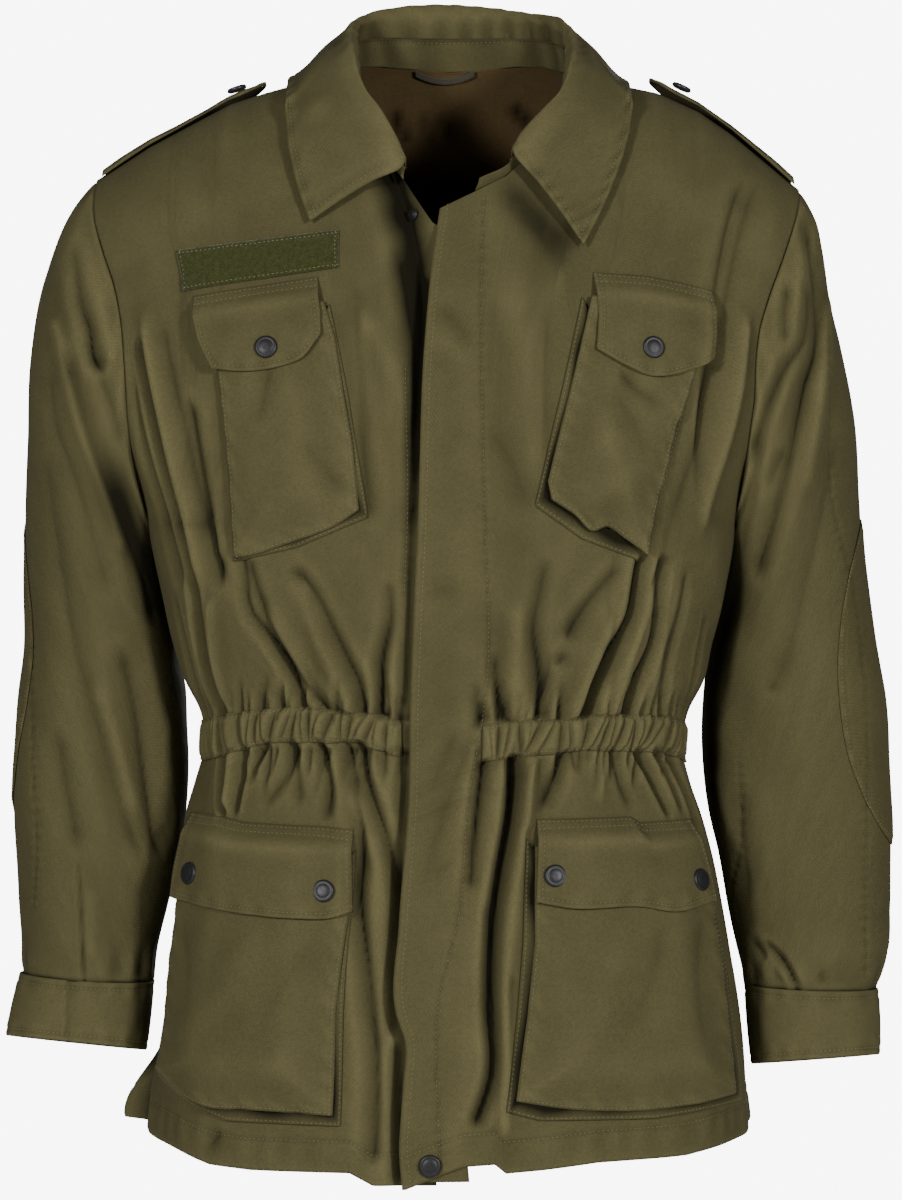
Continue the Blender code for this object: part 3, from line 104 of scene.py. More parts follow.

# ---------------------------------------------------------------- sewing
PUCKER_WIDTH, PUCKER_PITCH, PUCKER_STRAY, GROOVE_DEPTH, GROOVE_WIDTH = 5.0, 7.5, (1.9, 13.0), 0.7, 1.3
STITCH_LENGTH, STITCH_PITCH, STITCH_WIDTH = 2.3, 3.2, 0.6
# Distances of the stitching from its edge.
CUFF_STITCH, COLLAR_STITCH, STRAP_STITCH, FLAP_STITCH = 5.0, 5.5, 4.5, 4.0
FLY_EDGE_STITCH, CASING_STITCH, PATCH_STITCH, STAND_STITCH = 6.0, 2.6, 3.5, 3.0
BELLOWS_STITCH, POCKET_STITCH, STRIP_STITCH, FLAP_TOP_STITCHES = 1.8, 2.2, 2.5, (2.0, 7.5)
STRAP_STITCHED = 0.86  # share of the shoulder strap's length
# Waves that the sewing draws up beside edges: height, length over 2 pi, how far the wave strays and over what
# distance, and how far from the edge it is highest, with its half width there.
EDGE_WAVES = {
    "hem": (0.4, 4.3, 1.7, 19, 14.7, 9),
    "sleeve_top": (0.8, 9, 1.7, 31, 8, 10),
    "sleeve_end": (1.4, 14, 2.1, 47, 6, 16),
    "cuff": (0.45, 5, 1.8, 23, 6, 6),
    "collar_edge": (0.5, 2.9, 1.8, 17, 5, 6),
    "collar_seam": (0.9, 3.1, 2.4, 23, 0, 22),
    "strap": (0.4, 3.3, 1.6, 19, 5, 5),
    "flap": (0.4, 2.9, 1.7, 23, 5, 6),
}
STAND_WAVE, BELLOWS_WAVE = (4.6, 2.2, 29), (11, 2, 37)  # length and straying only

# ---------------------------------------------------------------- casing and its gathers
CASING_LOW, CASING_HIGH, CASING_SINK = -454.0, -426.0, 1.8
CASING_LIMIT = math.pi / 2 - 0.03  # angle at which the casings end, short of the side seam
CASING_REACH = (-463.0, -414.0)  # heights between which a crease starts at the casing
BAND_START = {RIGHT: 36.0, LEFT: 18.0}  # x from which the casing holds a front's folds flat
GATHER_DEPTH, GATHER_PITCH, BACK_GATHERS = 4.4, 9.5, 28
SIDE_GATHERS = 1.45  # toward the side seams the gathers lie this much wider apart
GATHER_RADIUS = 165.0  # stands for the back's half width at the casing
LEAST_GATHER, MORE_GATHER = 12.0, 22.0  # how far a gather's crease runs at least, and how much farther
GATHER_CREASES = ((2.4, -3.6, 0.0), (2.0, -2.6, 4.6))  # half width, height, aside: the main and the lesser
LESSER_REACH = 0.6  # of the main crease's length

# ---------------------------------------------------------------- pockets, fastenings and edges
PANEL_GAP, POCKET_GAP, BELLOWS_LIFT, BELLOWS_WIDTH, SNAP_GAP = 1.1, 0.9, 3.0, 12.0, 0.9
POCKET_LIFT = BELLOWS_LIFT + POCKET_GAP + CLOTH
FLAP_LIFT = POCKET_LIFT + POCKET_GAP + CLOTH
POCKET_FULL = {"chest": 3.5, "hip": 6.0}  # how much the middle of a pocket stands off its edges
FILL_WIDTH = 34.0  # from a pocket's edge to where it is full
WALL_TURN = 2.4  # how far a pocket's edges turn down
LIP_CURL = {("chest", RIGHT): 1.5, ("chest", LEFT): 5.0, ("hip", RIGHT): 1.5, ("hip", LEFT): 1.5}
FLAP_CURL = 2.2  # how far a flap's lower edge stands off
FLAP_FULL = 0.75  # how much of the pocket's fullness raises the flap
FLAP_PHASE = {"chest": 0.4, "hip": 2.2}  # of the slow wave of the flaps
SEAM_TUCK = 2.4  # the sleeve's end under the cuff
FACING_Z = (-733.0, -104.0)
CUFF_END_X = -261.0
NECK_SNAP_RADIUS = 4.0
# Shares of the radius, and heights, from the middle of the top round to the middle of the foot.
SNAP_PROFILE = (
    (0, 2.6), (0.25, 2.58), (0.45, 2.5), (0.6, 2.2), (0.66, 2.0), (0.74, 2.2), (0.84, 2.2), (0.94, 1.75),
    (1.0, 1.0), (0.97, 0.2), (0.9, 0), (0, 0),
)
BUTTON_PROFILE = (
    (0, 1.9), (0.5, 1.9), (0.64, 2.1), (0.72, 2.9), (0.8, 3.2), (0.9, 3.0), (1.0, 1.8), (0.95, 0.6), (0.8, 0),
    (0, 0),
)

# ---------------------------------------------------------------- tables of the form, shared with the solids
# The body's cross-section at each height. "widest" is the y of the side seams.
BODY_COLUMNS = ("z", "right", "left", "front", "back", "widest")
BODY_ROWS = (
    (-740, 210, 207, 152, 150, -10),
    (-700, 206, 205, 150, 148, -10),
    (-661, 199, 202, 147, 144, -12),
    (-626, 194, 198, 143, 140, -15),
    (-592, 190, 193, 138, 135, -18),
    (-557, 187, 187, 133, 130, -20),
    (-523, 184, 180, 127, 124, -22),
    (-495, 179, 172, 121, 118, -24),
    (-475, 173, 165, 116, 113, -25),
    (-454, 168, 160, 112, 108, -25),
    (-426, 170, 164, 111, 107, -26),
    (-406, 180, 174, 113, 109, -28),
    (-378, 189, 180, 118, 113, -30),
    (-350, 195, 187, 124, 118, -32),
    (-300, 205, 195, 130, 123, -30),
    (-200, 206, 196, 129, 122, -20),
    (-150, 206, 196, 118, 118, -12),
    (-100, 206, 196, 100, 110, -6),
    (-50, 206, 196, 82, 97, -2),
    (0, 206, 196, 76, 84, 0),
    (60, 206, 196, 70, 76, 0),
)
BODY = dict(zip(BODY_COLUMNS, np.array(BODY_ROWS, float).T))

# Height of the shoulder line over x. Between the ends of the shoulder seams it is the line that the
# neckline's cloth would turn over.
SHOULDER_X = (-242, -206, -151, -126, -108, -80, -70, -55, -40, 0, 40, 58, 74, 85, 119, 143, 172, 194, 241)
SHOULDER_Z = (-61, -38, -9, -1, 4, 11, 26, 39, 48.5, 61, 48.5, 39, 26, 11, 4, -1, -14, -29, -68)
NECK_CORNER = {RIGHT: -80.0, LEFT: 85.0}  # where the shoulder seams meet the neckline

# Armhole seams: height and distance from the middle, from the armpit up to the shoulder.
ARMHOLE = {
    RIGHT: np.array(
        (
            (-300, 205), (-282, 209), (-251, 214), (-228, 216), (-191, 218),
            (-160, 221), (-137, 226), (-117, 233), (-89, 241), (-61, 242),
        ),
        float,
    ),
    LEFT: np.array(
        (
            (-300, 195), (-282, 197.5), (-232, 203), (-216, 205), (-190, 206),
            (-168, 209), (-148, 215), (-116, 227), (-86, 237), (-68, 241),
        ),
        float,
    ),
}

# Edges of the two fronts and the back, as x and z.
NECK_FRONT = {
    RIGHT: (
        (-80, 11), (-78.5, 8), (-75, -1), (-68, -10), (-57, -30), (-44, -50), (-31, -68), (-11, -98),
        (14, -112), (40, -125),
    ),
    LEFT: (
        (-40, -104), (-5, -88), (17, -77), (38, -66), (55, -50), (70, -32), (80, -10), (82.5, 0), (84, 8),
        (85, 11),
    ),
}
NECK_BACK = (
    (-80, 11), (-76, 15), (-66, 22), (-50, 23), (-25, 22.3), (0, 21), (25, 22.3), (52, 23), (70, 22),
    (81, 15), (85, 11),
)
HEM_FRONT = {
    RIGHT: ((-215, -710), (-182, -719), (-159, -726), (-132, -728), (-66, -728), (-51, -736), (-10, -736)),
    LEFT: (
        (-30, -738), (-5, -728), (9, -723), (30, -722), (37, -728), (62, -726), (98, -722), (158, -720),
        (210, -712),
    ),
}
HEM_BACK = ((-215, -708), (-150, -716), (0, -722), (150, -716), (210, -710))

# Free edge of the fly: height, x, how far the fly stands off, how far the right front dips behind it.
FLY_COLUMNS = ("z", "x", "lift", "dip")
FLY_ROWS = (
    (-738, -30, 5.5, 3),
    (-712, -32, 6.0, 5),
    (-693, -31, 6.5, 7),
    (-666, -29, 7.0, 8),
    (-642, -28, 7.5, 8),
    (-622, -34, 7.5, 8),
    (-565, -32, 7.0, 7),
    (-483, -26, 6.0, 4),
    (-417, -25, 5.4, 2),
    (-337, -22, 5.2, 1),
    (-294, -20, 5.2, 0),
    (-181, -16, 5.2, 0),
    (-125, -11, 5.0, 0),
    (-88, -6, 4.8, 0),
)
FLY = dict(zip(FLY_COLUMNS, np.array(FLY_ROWS, float).T))
LIFT_FADE, DIP_FADE = 45.0, 22.0  # over which the fronts come back to the body

# At the hem the back swings out beside the side seams: how far, how far from the seam, and from where down.
HEM_FLARE = {RIGHT: 21.0, LEFT: 5.0}
FLARE_FROM_SEAM, FLARE_WIDTH, FLARE_TOP, FLARE_FULL = 32.0, 22.0, -645.0, -705.0

# Casing edges, as x and z, and the gathers of its front lengths, as x at the top and at the bottom.
CASING_TOP = {
    RIGHT: ((-172, -434), (-154, -428), (-118, -423), (-99, -422), (-75, -424), (-49, -427), (-29, -432)),
    LEFT: ((20, -434), (41, -431), (75, -430), (96, -427), (117, -427), (146, -429), (166, -436)),
}
CASING_BOTTOM = {
    RIGHT: ((-172, -461), (-152, -456), (-138, -451), (-119, -446), (-90, -446), (-59, -446), (-31, -456)),
    LEFT: ((20, -459), (40, -456), (75, -453), (96, -451), (148, -453), (166, -463)),
}
BACK_CASING_ANGLES, BACK_CASING = (-1.6, 0, 1.6), ((-434, -424, -436), (-461, -451, -463))
CASING_GATHERS = {
    RIGHT: (
        (-155, -154), (-140, -139), (-128, -130), (-114, -121), (-100, -106), (-92, -94),
        (-76, -85), (-63, -69), (-48, -58), (-41, -43), (-32, -33),
    ),
    LEFT: (
        (22, 22), (33, 32), (47, 48), (61, 50), (75, 74), (94, 89),
        (107, 100), (117, 111), (124, 122), (137, 128), (149, 145),
    ),
}

# Sleeve rings from the shoulder down: outer point (x, y, z), inner point (x, y, z) and half depth, with x as
# the distance from the middle plane.
SLEEVE_RINGS = {
    RIGHT: (
        (257, -4, -79, 202, -26, -303, 71),
        (277, 3, -126, 201, -18, -312, 76),
        (290, 9, -191, 198.5, -4, -326, 79),
        (292, 12, -239, 194, 8, -340, 79),
        (293, 15, -282, 191.5, 16, -362, 78),
        (293, 18, -330, 186.5, 20, -392, 75),
        (293, 20, -377, 183, 22, -412, 72),
        (298, 22, -423, 182, 20, -436, 68),
        (301, 20, -461, 181, 18, -466, 64),
        (301, 14, -499, 183, 14, -499, 60),
        (299, 8, -533, 188, 8, -530, 56),
        (297, 2, -567, 195, 2, -566, 52),
        (294, -3, -592, 200, -3, -592, 48),
        (293, -6, -605, 202, -6, -611, 45),
    ),
    LEFT: (
        (252, -4, -88, 192, -26, -303, 71),
        (257, 0, -110, 192, -22, -307, 74),
        (262, 3, -143, 191, -18, -313, 76),
        (271, 6, -179, 191, -12, -320, 78),
        (279, 9, -217, 190, -4, -330, 79),
        (284, 13, -280, 187, 8, -345, 78),
        (288, 17, -327, 185, 16, -366, 76),
        (295, 20, -375, 179.5, 19, -392, 73),
        (301, 22, -415, 176.5, 20, -415, 70),
        (304, 22, -460, 176, 20, -466, 66),
        (306, 16, -502, 179, 15, -497, 62),
        (305, 10, -537, 186, 9, -528, 58),
        (304, 4, -564, 192, 3, -560, 54),
        (302, -2, -592, 198, -3, -590, 50),
        (294, -6, -616, 202, -6, -613, 45),
    ),
}
CUFF_RINGS = {
    RIGHT: (
        (294.6, -6, -606.5, 202.0, -6, -612.5, 45.5),
        (300.0, -11, -628.0, 204.0, -11, -636.0, 45.5),
        (303.6, -16, -649.5, 206.5, -16, -659.5, 45.0),
    ),
    LEFT: (
        (294.6, -6, -617.5, 202.5, -6, -614.5, 45.5),
        (296.0, -11, -640.0, 204.0, -11, -641.0, 45.5),
        (295.0, -16, -662.5, 206.5, -16, -669.0, 45.0),
    ),
}
CUFF_TILT = 5.0  # the cuff's back edge hangs this much lower than its front edge

# Elbow patches: the middle ring, the angle round the sleeve from its outer side, half the height in rings,
# and half the width in degrees.
ELBOW_PATCH = {RIGHT: (7.6, -30.0, 2.6, 62.0), LEFT: (8.9, 3.0, 2.6, 62.0)}

# Collar stations from the right front's end round the back to the left front's end: a neckline point
# (x, z), the roll (x, y, z) and the leaf's free edge (x, z). "face" says which side the edge lies on.
COLLAR_ROWS = (
    # neck x, z, roll x, y, z, edge x, z, face
    (-31, -68, -30, -91, -57, -91, -98, FRONT),
    (-44, -50, -43, -82, -26, -99, -76, FRONT),
    (-57, -30, -59, -68, -2, -105, -51, FRONT),
    (-69, -9, -66, -46, 22, -108, -27, FRONT),
    (-79.4, 10, -68.5, -5, 37, -108, -7, FRONT),
    (-76, 15, -66, 28, 52, -106, 1, BACK),
    (-58, 22.6, -54, 56, 61, -95, -4, BACK),
    (-27, 22.4, -30, 74, 65.5, -58, -10, BACK),
    (0, 21, 0, 80, 67, 0, -14, BACK),
    (29, 22.4, 32, 76, 66, 60, -11, BACK),
    (60, 22.6, 58, 60, 61, 100, -5, BACK),
    (81, 15, 77, 30, 53, 118, -2, BACK),
    (84.6, 10, 86, -5, 33, 121, -8, FRONT),
    (80, -10, 84, -45, 15, 121, -27, FRONT),
    (70, -32, 76, -67, -6, 115, -52, FRONT),
    (55, -50, 60, -79, -26, 103, -84, FRONT),
    (38, -66, 43, -92, -50, 88, -114, FRONT),
)
BEHIND_NECK = range(5, 12)  # the rows whose neckline point lies on the back
NECK_MIDDLE = (4.0, -2.0)
STAND_SHARE = 0.52  # of the way from the neckline to the roll
ROLL_HALF = 2.6
LEAF_SEAM_GAP = -0.4  # the collar and its stand overlap in their seam
LEAF_CLEAR = 5.0  # between the leaf and the body
STAND_END = (18.0, -90.0, -76.0)  # the stand's left end reaches past the leaf
COLLAR_COLUMNS = 28
SEAM_ROW, NEAR_ROW = 2, 4  # rows of the collar's sheet at its seam and at the roll's inner side

# Shoulder straps: x at the armhole and at the tip, half width, y of the middle, lift at armhole and tip.
STRAP = {RIGHT: (-238.0, -126.0, 22.0, 2.0, 5.0, 7.5), LEFT: (237.0, 138.0, 22.0, 2.0, 6.5, 9.0)}
STRAP_BUTTON_X = {RIGHT: -143.5, LEFT: 156.0}
SHOULDER_DROP = 20.0  # from the shoulder's ridge down to the section whose depth it takes

# Pieces on the fronts, as x and z along their top, bottom, right-hand (toward -X) and left-hand edges.
NAME_STRIP = ((-182, -116), (-73, -103), (-179, -144), (-73, -129))
CHEST_POCKET = {
    RIGHT: {
        "flap": (
            ((-171, -147.5), (-87, -135)),
            ((-152, -197), (-130, -199), (-108, -196), (-95, -191), (-82, -174)),
            ((-171, -147.5), (-162, -176), (-152, -197)),
            ((-87, -135), (-83, -158), (-82, -174)),
        ),
        "wall": (
            ((-155, -164), (-82, -152)),
            ((-141, -323), (-129, -321), (-102, -312), (-73, -301), (-59, -291)),
            ((-155, -164), (-151, -198), (-144, -270), (-141, -323)),
            ((-82, -152), (-75, -176), (-69, -214), (-63, -248), (-59, -291)),
        ),
        "rim": (
            (-157, -166), (-153, -198), (-146, -270), (-143, -325), (-101, -316), (-54, -296), (-67, -214),
            (-79, -154),
        ),
        "middle": (-108, -235),
        "snaps": {"": (-116, -183)},
    },
    LEFT: {
        "flap": (
            ((96, -132), (131, -134), (153, -138), (177, -144)),
            ((94, -184), (114, -196), (129, -202), (137, -202), (160, -196), (175, -189)),
            ((96, -132), (96, -162), (94, -184)),
            ((177, -144), (177, -171), (175, -189)),
        ),
        "wall": (
            ((93, -148), (171, -160)),
            ((66, -284), (79, -293), (93, -305), (103, -302), (114, -310), (126, -321)),
            ((93, -148), (77, -218), (64, -272), (66, -284)),
            ((171, -160), (160, -199), (149, -233), (140, -270), (126, -321)),
        ),
        "rim": (
            (88, -149), (74, -214), (57, -288), (88, -310), (128, -325), (143, -271), (163, -200),
            (174, -162),
        ),
        "middle": (114, -225),
        "snaps": {"": (130, -183)},
    },
}
HIP_POCKET = {
    RIGHT: {
        "flap": (
            ((-174, -494), (-150, -496), (-135, -499), (-83, -501), (-64, -503)),
            ((-180, -551), (-150, -556), (-94, -561), (-76, -561), (-63, -557)),
            ((-174, -494), (-180, -551)),
            ((-64, -503), (-63, -557)),
        ),
        "wall": (
            ((-175, -514), (-66, -521)),
            ((-195, -668), (-176, -682), (-156, -688), (-132, -688), (-75, -690)),
            ((-175, -514), (-180, -551), (-186, -592), (-190, -641), (-195, -668)),
            ((-66, -521), (-66, -561), (-73, -621), (-75, -690)),
        ),
        "rim": (
            (-176, -510), (-183, -560), (-192, -641), (-197, -673), (-171, -688), (-146, -696), (-71, -697),
            (-69, -621), (-63, -517),
        ),
        "middle": (-125, -600),
        "snaps": {"_outer": (-166, -534), "_inner": (-79, -543)},
    },
    LEFT: {
        "flap": (
            ((58, -496), (121, -495), (127, -499), (162, -498)),
            ((55, -550), (75, -554), (120, -554), (142, -558), (172, -552)),
            ((58, -496), (55, -550)),
            ((162, -498), (172, -552)),
        ),
        "wall": (
            ((56, -514), (164, -516)),
            ((43, -680), (72, -685), (106, -688), (136, -688), (190, -683)),
            ((56, -514), (56, -577), (51, -625), (43, -680)),
            ((164, -516), (175, -557), (182, -602), (190, -683)),
        ),
        "rim": (
            (50, -508), (49, -577), (45, -625), (37, -687), (59, -693), (136, -694), (196, -688), (187, -602),
            (168, -512),
        ),
        "middle": (115, -600),
        "snaps": {"_outer": (160, -538), "_inner": (67, -533)},
    },
}
HEM_SNAP = (-12, -722)
NECK_SNAP = (-24, -92)
LOOP_ENDS = (-24, 18)
LOOP_Z, LOOP_SAG, LOOP_WIDTH, LOOP_INSETS = 19.5, 5.0, 4.0, (4.4, 3.4)


# ---------------------------------------------------------------- tables of creases
# Each row: half width, height at the first point, height at the last, then points (x, z). Below 0 is a
# valley, sharp at its foot, and over 0 a ridge.
CREASES = {
    RIGHT: (
        # over the casing
        (
            6.5, -5, -3.5, (-154, -428), (-161, -404), (-168, -369), (-175, -324), (-185, -284),
            (-198, -231), (-210, -172),
        ),
        (9, -2.5, -1, (-150, -345), (-168, -290), (-180, -230), (-195, -160)),
        (5, -5, -1.5, (-99, -424), (-109, -394), (-120, -377), (-135, -356), (-138, -332), (-139, -312)),
        (
            6, -4.4, -1.5, (-80, -427), (-96, -408), (-108, -389), (-118, -371), (-127, -352),
            (-132, -334), (-134, -318),
        ),
        (
            5.5, -3.8, -1.5, (-58, -424), (-60, -408), (-68, -391), (-78, -371), (-86, -354),
            (-96, -338), (-108, -329),
        ),
        (5, -5, -1, (-46, -424), (-45, -389), (-39, -359), (-41, -335)),
        (7, 2.5, 0.5, (-90, -424), (-103, -394), (-114, -374), (-124, -350)),
        (8, 2.5, 0.5, (-68, -422), (-84, -385), (-98, -352)),
        (7, 2, 0.5, (-160, -345), (-156, -390), (-148, -426)),
        (3.5, -3, 0, (-128, -426), (-124, -407), (-121, -396)),
        (3.5, -3, 0, (-114, -426), (-117, -404)),
        (3, -2.5, 0, (-71, -426), (-73, -408)),
        (3, -3, 0, (-34, -430), (-36, -410)),
        (6, -4, -1, (-167, -432), (-176, -392), (-187, -345)),
        # under the casing
        (4.5, -8, -5, (-153, -453), (-154, -479), (-150, -497)),
        (4.5, -7, -4, (-139, -453), (-142, -479), (-145, -497)),
        (4, -5, -1, (-126, -450), (-131, -461), (-137, -476)),
        (5, -3, -1, (-109, -447), (-110, -467), (-125, -490)),
        (4, -2.5, -1, (-105, -447), (-99, -490)),
        (4, -4, -2, (-88, -446), (-80, -479), (-83, -500)),
        (
            7, -4.6, -3, (-70, -449), (-60, -492), (-58, -506), (-61, -545), (-54, -600), (-49, -650),
            (-50, -725),
        ),
        (6, -6, -2.5, (-60, -447), (-55, -473), (-43, -508), (-34, -547), (-31, -585)),
        (3, -3, 0, (-48, -453), (-46, -474)),
        (6, 3, 2, (-146, -457), (-148, -497)),
        (8, 3, 1, (-66, -470), (-50, -530)),
        (7, -3.5, -1, (-178, -458), (-183, -500), (-188, -545)),
        # broad folds of the chest
        (14, -3.4, -2.6, (-38, -108), (-29, -151), (-22, -212), (-21, -264), (-23, -314)),
        (12, 2.2, 1.2, (-63, -148), (-42, -184), (-28, -218), (-27, -251)),
        (9, -1.8, -2.2, (-216, -170), (-203, -251), (-190, -297), (-178, -345)),
        (11, 1.8, 1.4, (-206, -150), (-190, -231), (-176, -291), (-164, -345)),
        (8, -2.6, -1.6, (-175, -212), (-169, -251), (-162, -297), (-154, -345)),
        (8, -2.6, -1.8, (-77, -151), (-68, -198), (-59, -251), (-52, -304)),
        (12, -2.8, -1.0, (-32, -78), (-35, -108)),
        (16, -1.6, -1.0, (-179, -111), (-182, -165), (-175, -218)),
        (18, 1.6, 1.0, (-125, -350), (-99, -384), (-86, -410)),
        # beside the fly, down to the hem
        (11, -7.5, -2.5, (-46, -44), (-24, -110), (-17, -165), (-21, -250)),
        (4, -1.6, -1.8, (-14, -130), (-22, -230), (-25, -300), (-28, -380), (-30, -425)),
        (4, -1.8, -2.2, (-30, -460), (-34, -540), (-38, -600), (-37, -640)),
        (5, -2.6, -3.4, (-35, -640), (-34, -693), (-33, -738)),
        (9, -2.5, -1, (-150, -700), (-165, -722)),
    ),
    LEFT: (
        # over the casing
        (5, -3.5, -1, (40, -428), (32, -408), (30, -383)),
        (4, -3, -0.5, (20, -430), (18, -402)),
        (6, -3.2, -1.0, (61, -426), (61, -396), (57, -365), (61, -346), (66, -318)),
        (6, -2.4, -1.2, (77, -381), (88, -361), (104, -340), (118, -326)),
        (5, -2.5, -0.5, (69, -396), (83, -385)),
        (6, -8, -4, (92, -427), (102, -404), (112, -383), (124, -358), (130, -323), (136, -298), (140, -270)),
        (4, -4.5, -1, (96, -428), (97, -408), (103, -392), (113, -356)),
        (5, -5.5, -2, (121, -428), (124, -412), (138, -375), (141, -350), (145, -318)),
        (5, -3, -1, (144, -430), (144, -404), (155, -359), (161, -328)),
        (7, 3, 1, (86, -426), (97, -395), (112, -362)),
        (6, 3, 1, (109, -426), (120, -392), (133, -350)),
        (8, 2, 1, (46, -420), (44, -380), (46, -345)),
        (3, -2.5, 0, (75, -430), (76, -412)),
        (3, -2.5, 0, (131, -428), (134, -412)),
        (5, -3.5, -1, (160, -434), (167, -400), (175, -358)),
        # under the casing
        (
            5, -9, -4, (43, -456), (42, -487), (34, -529), (30, -556), (28, -592), (28, -632),
            (29, -660), (16, -700),
        ),
        (5, -4.5, -2, (24, -457), (21, -473), (17, -506), (14, -545)),
        (3, -4, -1, (84, -452), (84, -468)),
        (5, -4, -1.5, (78, -453), (61, -494)),
        (4, -3, -1, (111, -450), (116, -473), (124, -492)),
        (5, -5.5, -3, (128, -451), (140, -475), (151, -498)),
        (4, -4.5, -2, (140, -452), (151, -473), (159, -495)),
        (6, -4, -2, (150, -455), (162, -485), (172, -520), (181, -560)),
        (6, 3, 1, (34, -460), (31, -500), (23, -560)),
        (7, 4, 2, (53, -458), (50, -500), (42, -560), (37, -610)),
        (7, 2.5, 1, (100, -453), (100, -490)),
        # down to the hem
        (5, 2.5, 2, (36, -592), (37, -640), (36, -705)),
        # the fly
        (12, -1.5, -0.7, (8, -462), (-6, -500), (-20, -552)),
        (8, -1.1, -0.4, (-1, -452), (-14, -482)),
        # broad folds of the chest and of the fly
        (16, -1.4, -1.0, (30, -80), (54, -100), (76, -128), (83, -160)),
        (
            14, -2.4, -3.0, (212, -60), (194, -131), (182, -181), (172, -224), (163, -261),
            (150, -297), (138, -324),
        ),
        (10, 2.4, 1.6, (199, -151), (192, -204), (183, -251), (167, -311)),
        (18, 2.0, 1.2, (34, -118), (47, -171), (54, -231), (53, -284)),
        (8, -0.8, -0.5, (-13, -151), (2, -163), (15, -186)),
        (9, 0.8, 0.5, (-14, -171), (1, -181), (11, -204)),
        (12, -1.2, -0.8, (21, -231), (41, -258), (54, -297)),
        (16, 1.8, 1.2, (127, -350), (100, -377), (74, -410)),
        (8, -0.6, -0.4, (-17, -350), (1, -344), (14, -350)),
        (9, -0.9, -0.5, (-16, -536), (1, -523), (14, -497)),
        # from the shoulder and the armhole
        (11, -1.8, -2.2, (202, -60), (189, -106), (181, -146), (176, -200), (166, -251), (152, -300)),
        (8, -2.5, -1, (150, -300), (142, -330), (128, -352)),
    ),
}
# Stitched lines, which pull the cloth down and pucker it: x and z.
FRONT_STITCH = {
    RIGHT: ((-29, -196), (-28, -300), (-30, -345)),
    LEFT: ((23, -80), (21, -151), (23, -284), (24, -417), (13, -483), (5, -567), (-5, -605), (-6, -720)),
}
CENTRE_SEAM = ((0, 15), (0, -200), (0, -400), (0, -735))
HEM_INSET = 21.0  # of the hem's stitching from the edge

# On the sleeves the rows hold for the front and come back, lower and shallower, behind.
SLEEVE_CREASES = {
    RIGHT: (
        (5, -9, -2.5, (-231, -200), (-239, -186), (-243, -165), (-250, -144), (-253, -127), (-256, -104)),
        (7, -5, -5, (-262, -178), (-254, -205), (-243, -240), (-228, -280), (-208, -335), (-199, -372)),
        (5, 2.5, 2.5, (-271, -155), (-265, -174), (-259, -200), (-250, -232), (-236, -268), (-218, -322)),
        (6, -3.5, -2, (-238, -192), (-226, -222), (-218, -252)),
        (9, -3.5, -3, (-272, -182), (-267, -229), (-253, -269), (-240, -310), (-229, -352)),
        (10, -5, -2.5, (-207, -532), (-219, -499), (-236, -445), (-256, -378), (-268, -300), (-275, -245)),
        (9, -5, -7, (-224, -376), (-210, -438), (-203, -486), (-197, -530)),
        (8, 2.5, 2.5, (-243, -400), (-224, -460), (-211, -505)),
        (1.3, -3.4, -1, (-247, -624), (-248, -604), (-250, -560), (-252, -528)),
        (6, 2, 1, (-243, -600), (-244, -540)),
        (7, -3, -2, (-252, -524), (-262, -480), (-269, -435)),
    ),
    LEFT: (
        (
            6, -8, -7, (244, -84), (249, -127), (251, -154), (249, -180), (243, -197), (237, -222),
            (231, -249), (224, -276), (216, -303), (206, -340),
        ),
        (6, 3, 2, (259, -140), (255, -180), (252, -215), (241, -283)),
        (3.5, -4, -3, (229, -134), (226, -160), (227, -180)),
        (4, -5, -4, (244, -132), (243, -162), (238, -178), (230, -188), (216, -216), (206, -246)),
        (5, -7, -4, (209, -236), (205, -250), (202, -264)),
        (5, -3.5, -2, (228, -245), (213, -280)),
        (11, -3.5, -3, (214, -418), (231, -384), (239, -350), (252, -296), (266, -229)),
        (4, -2, -0.5, (214, -414), (226, -404)),
        (2.4, -6, -2.5, (240, -624), (236, -613), (228, -598), (214, -582)),
        (4, -4, -2, (218, -596), (204, -580)),
        (3, -3, -0.5, (252, -614), (256, -598)),
        (4, 2.5, 1, (232, -612), (222, -594)),
        (9, -3, -2, (206, -560), (200, -520), (199, -470)),
    ),
}
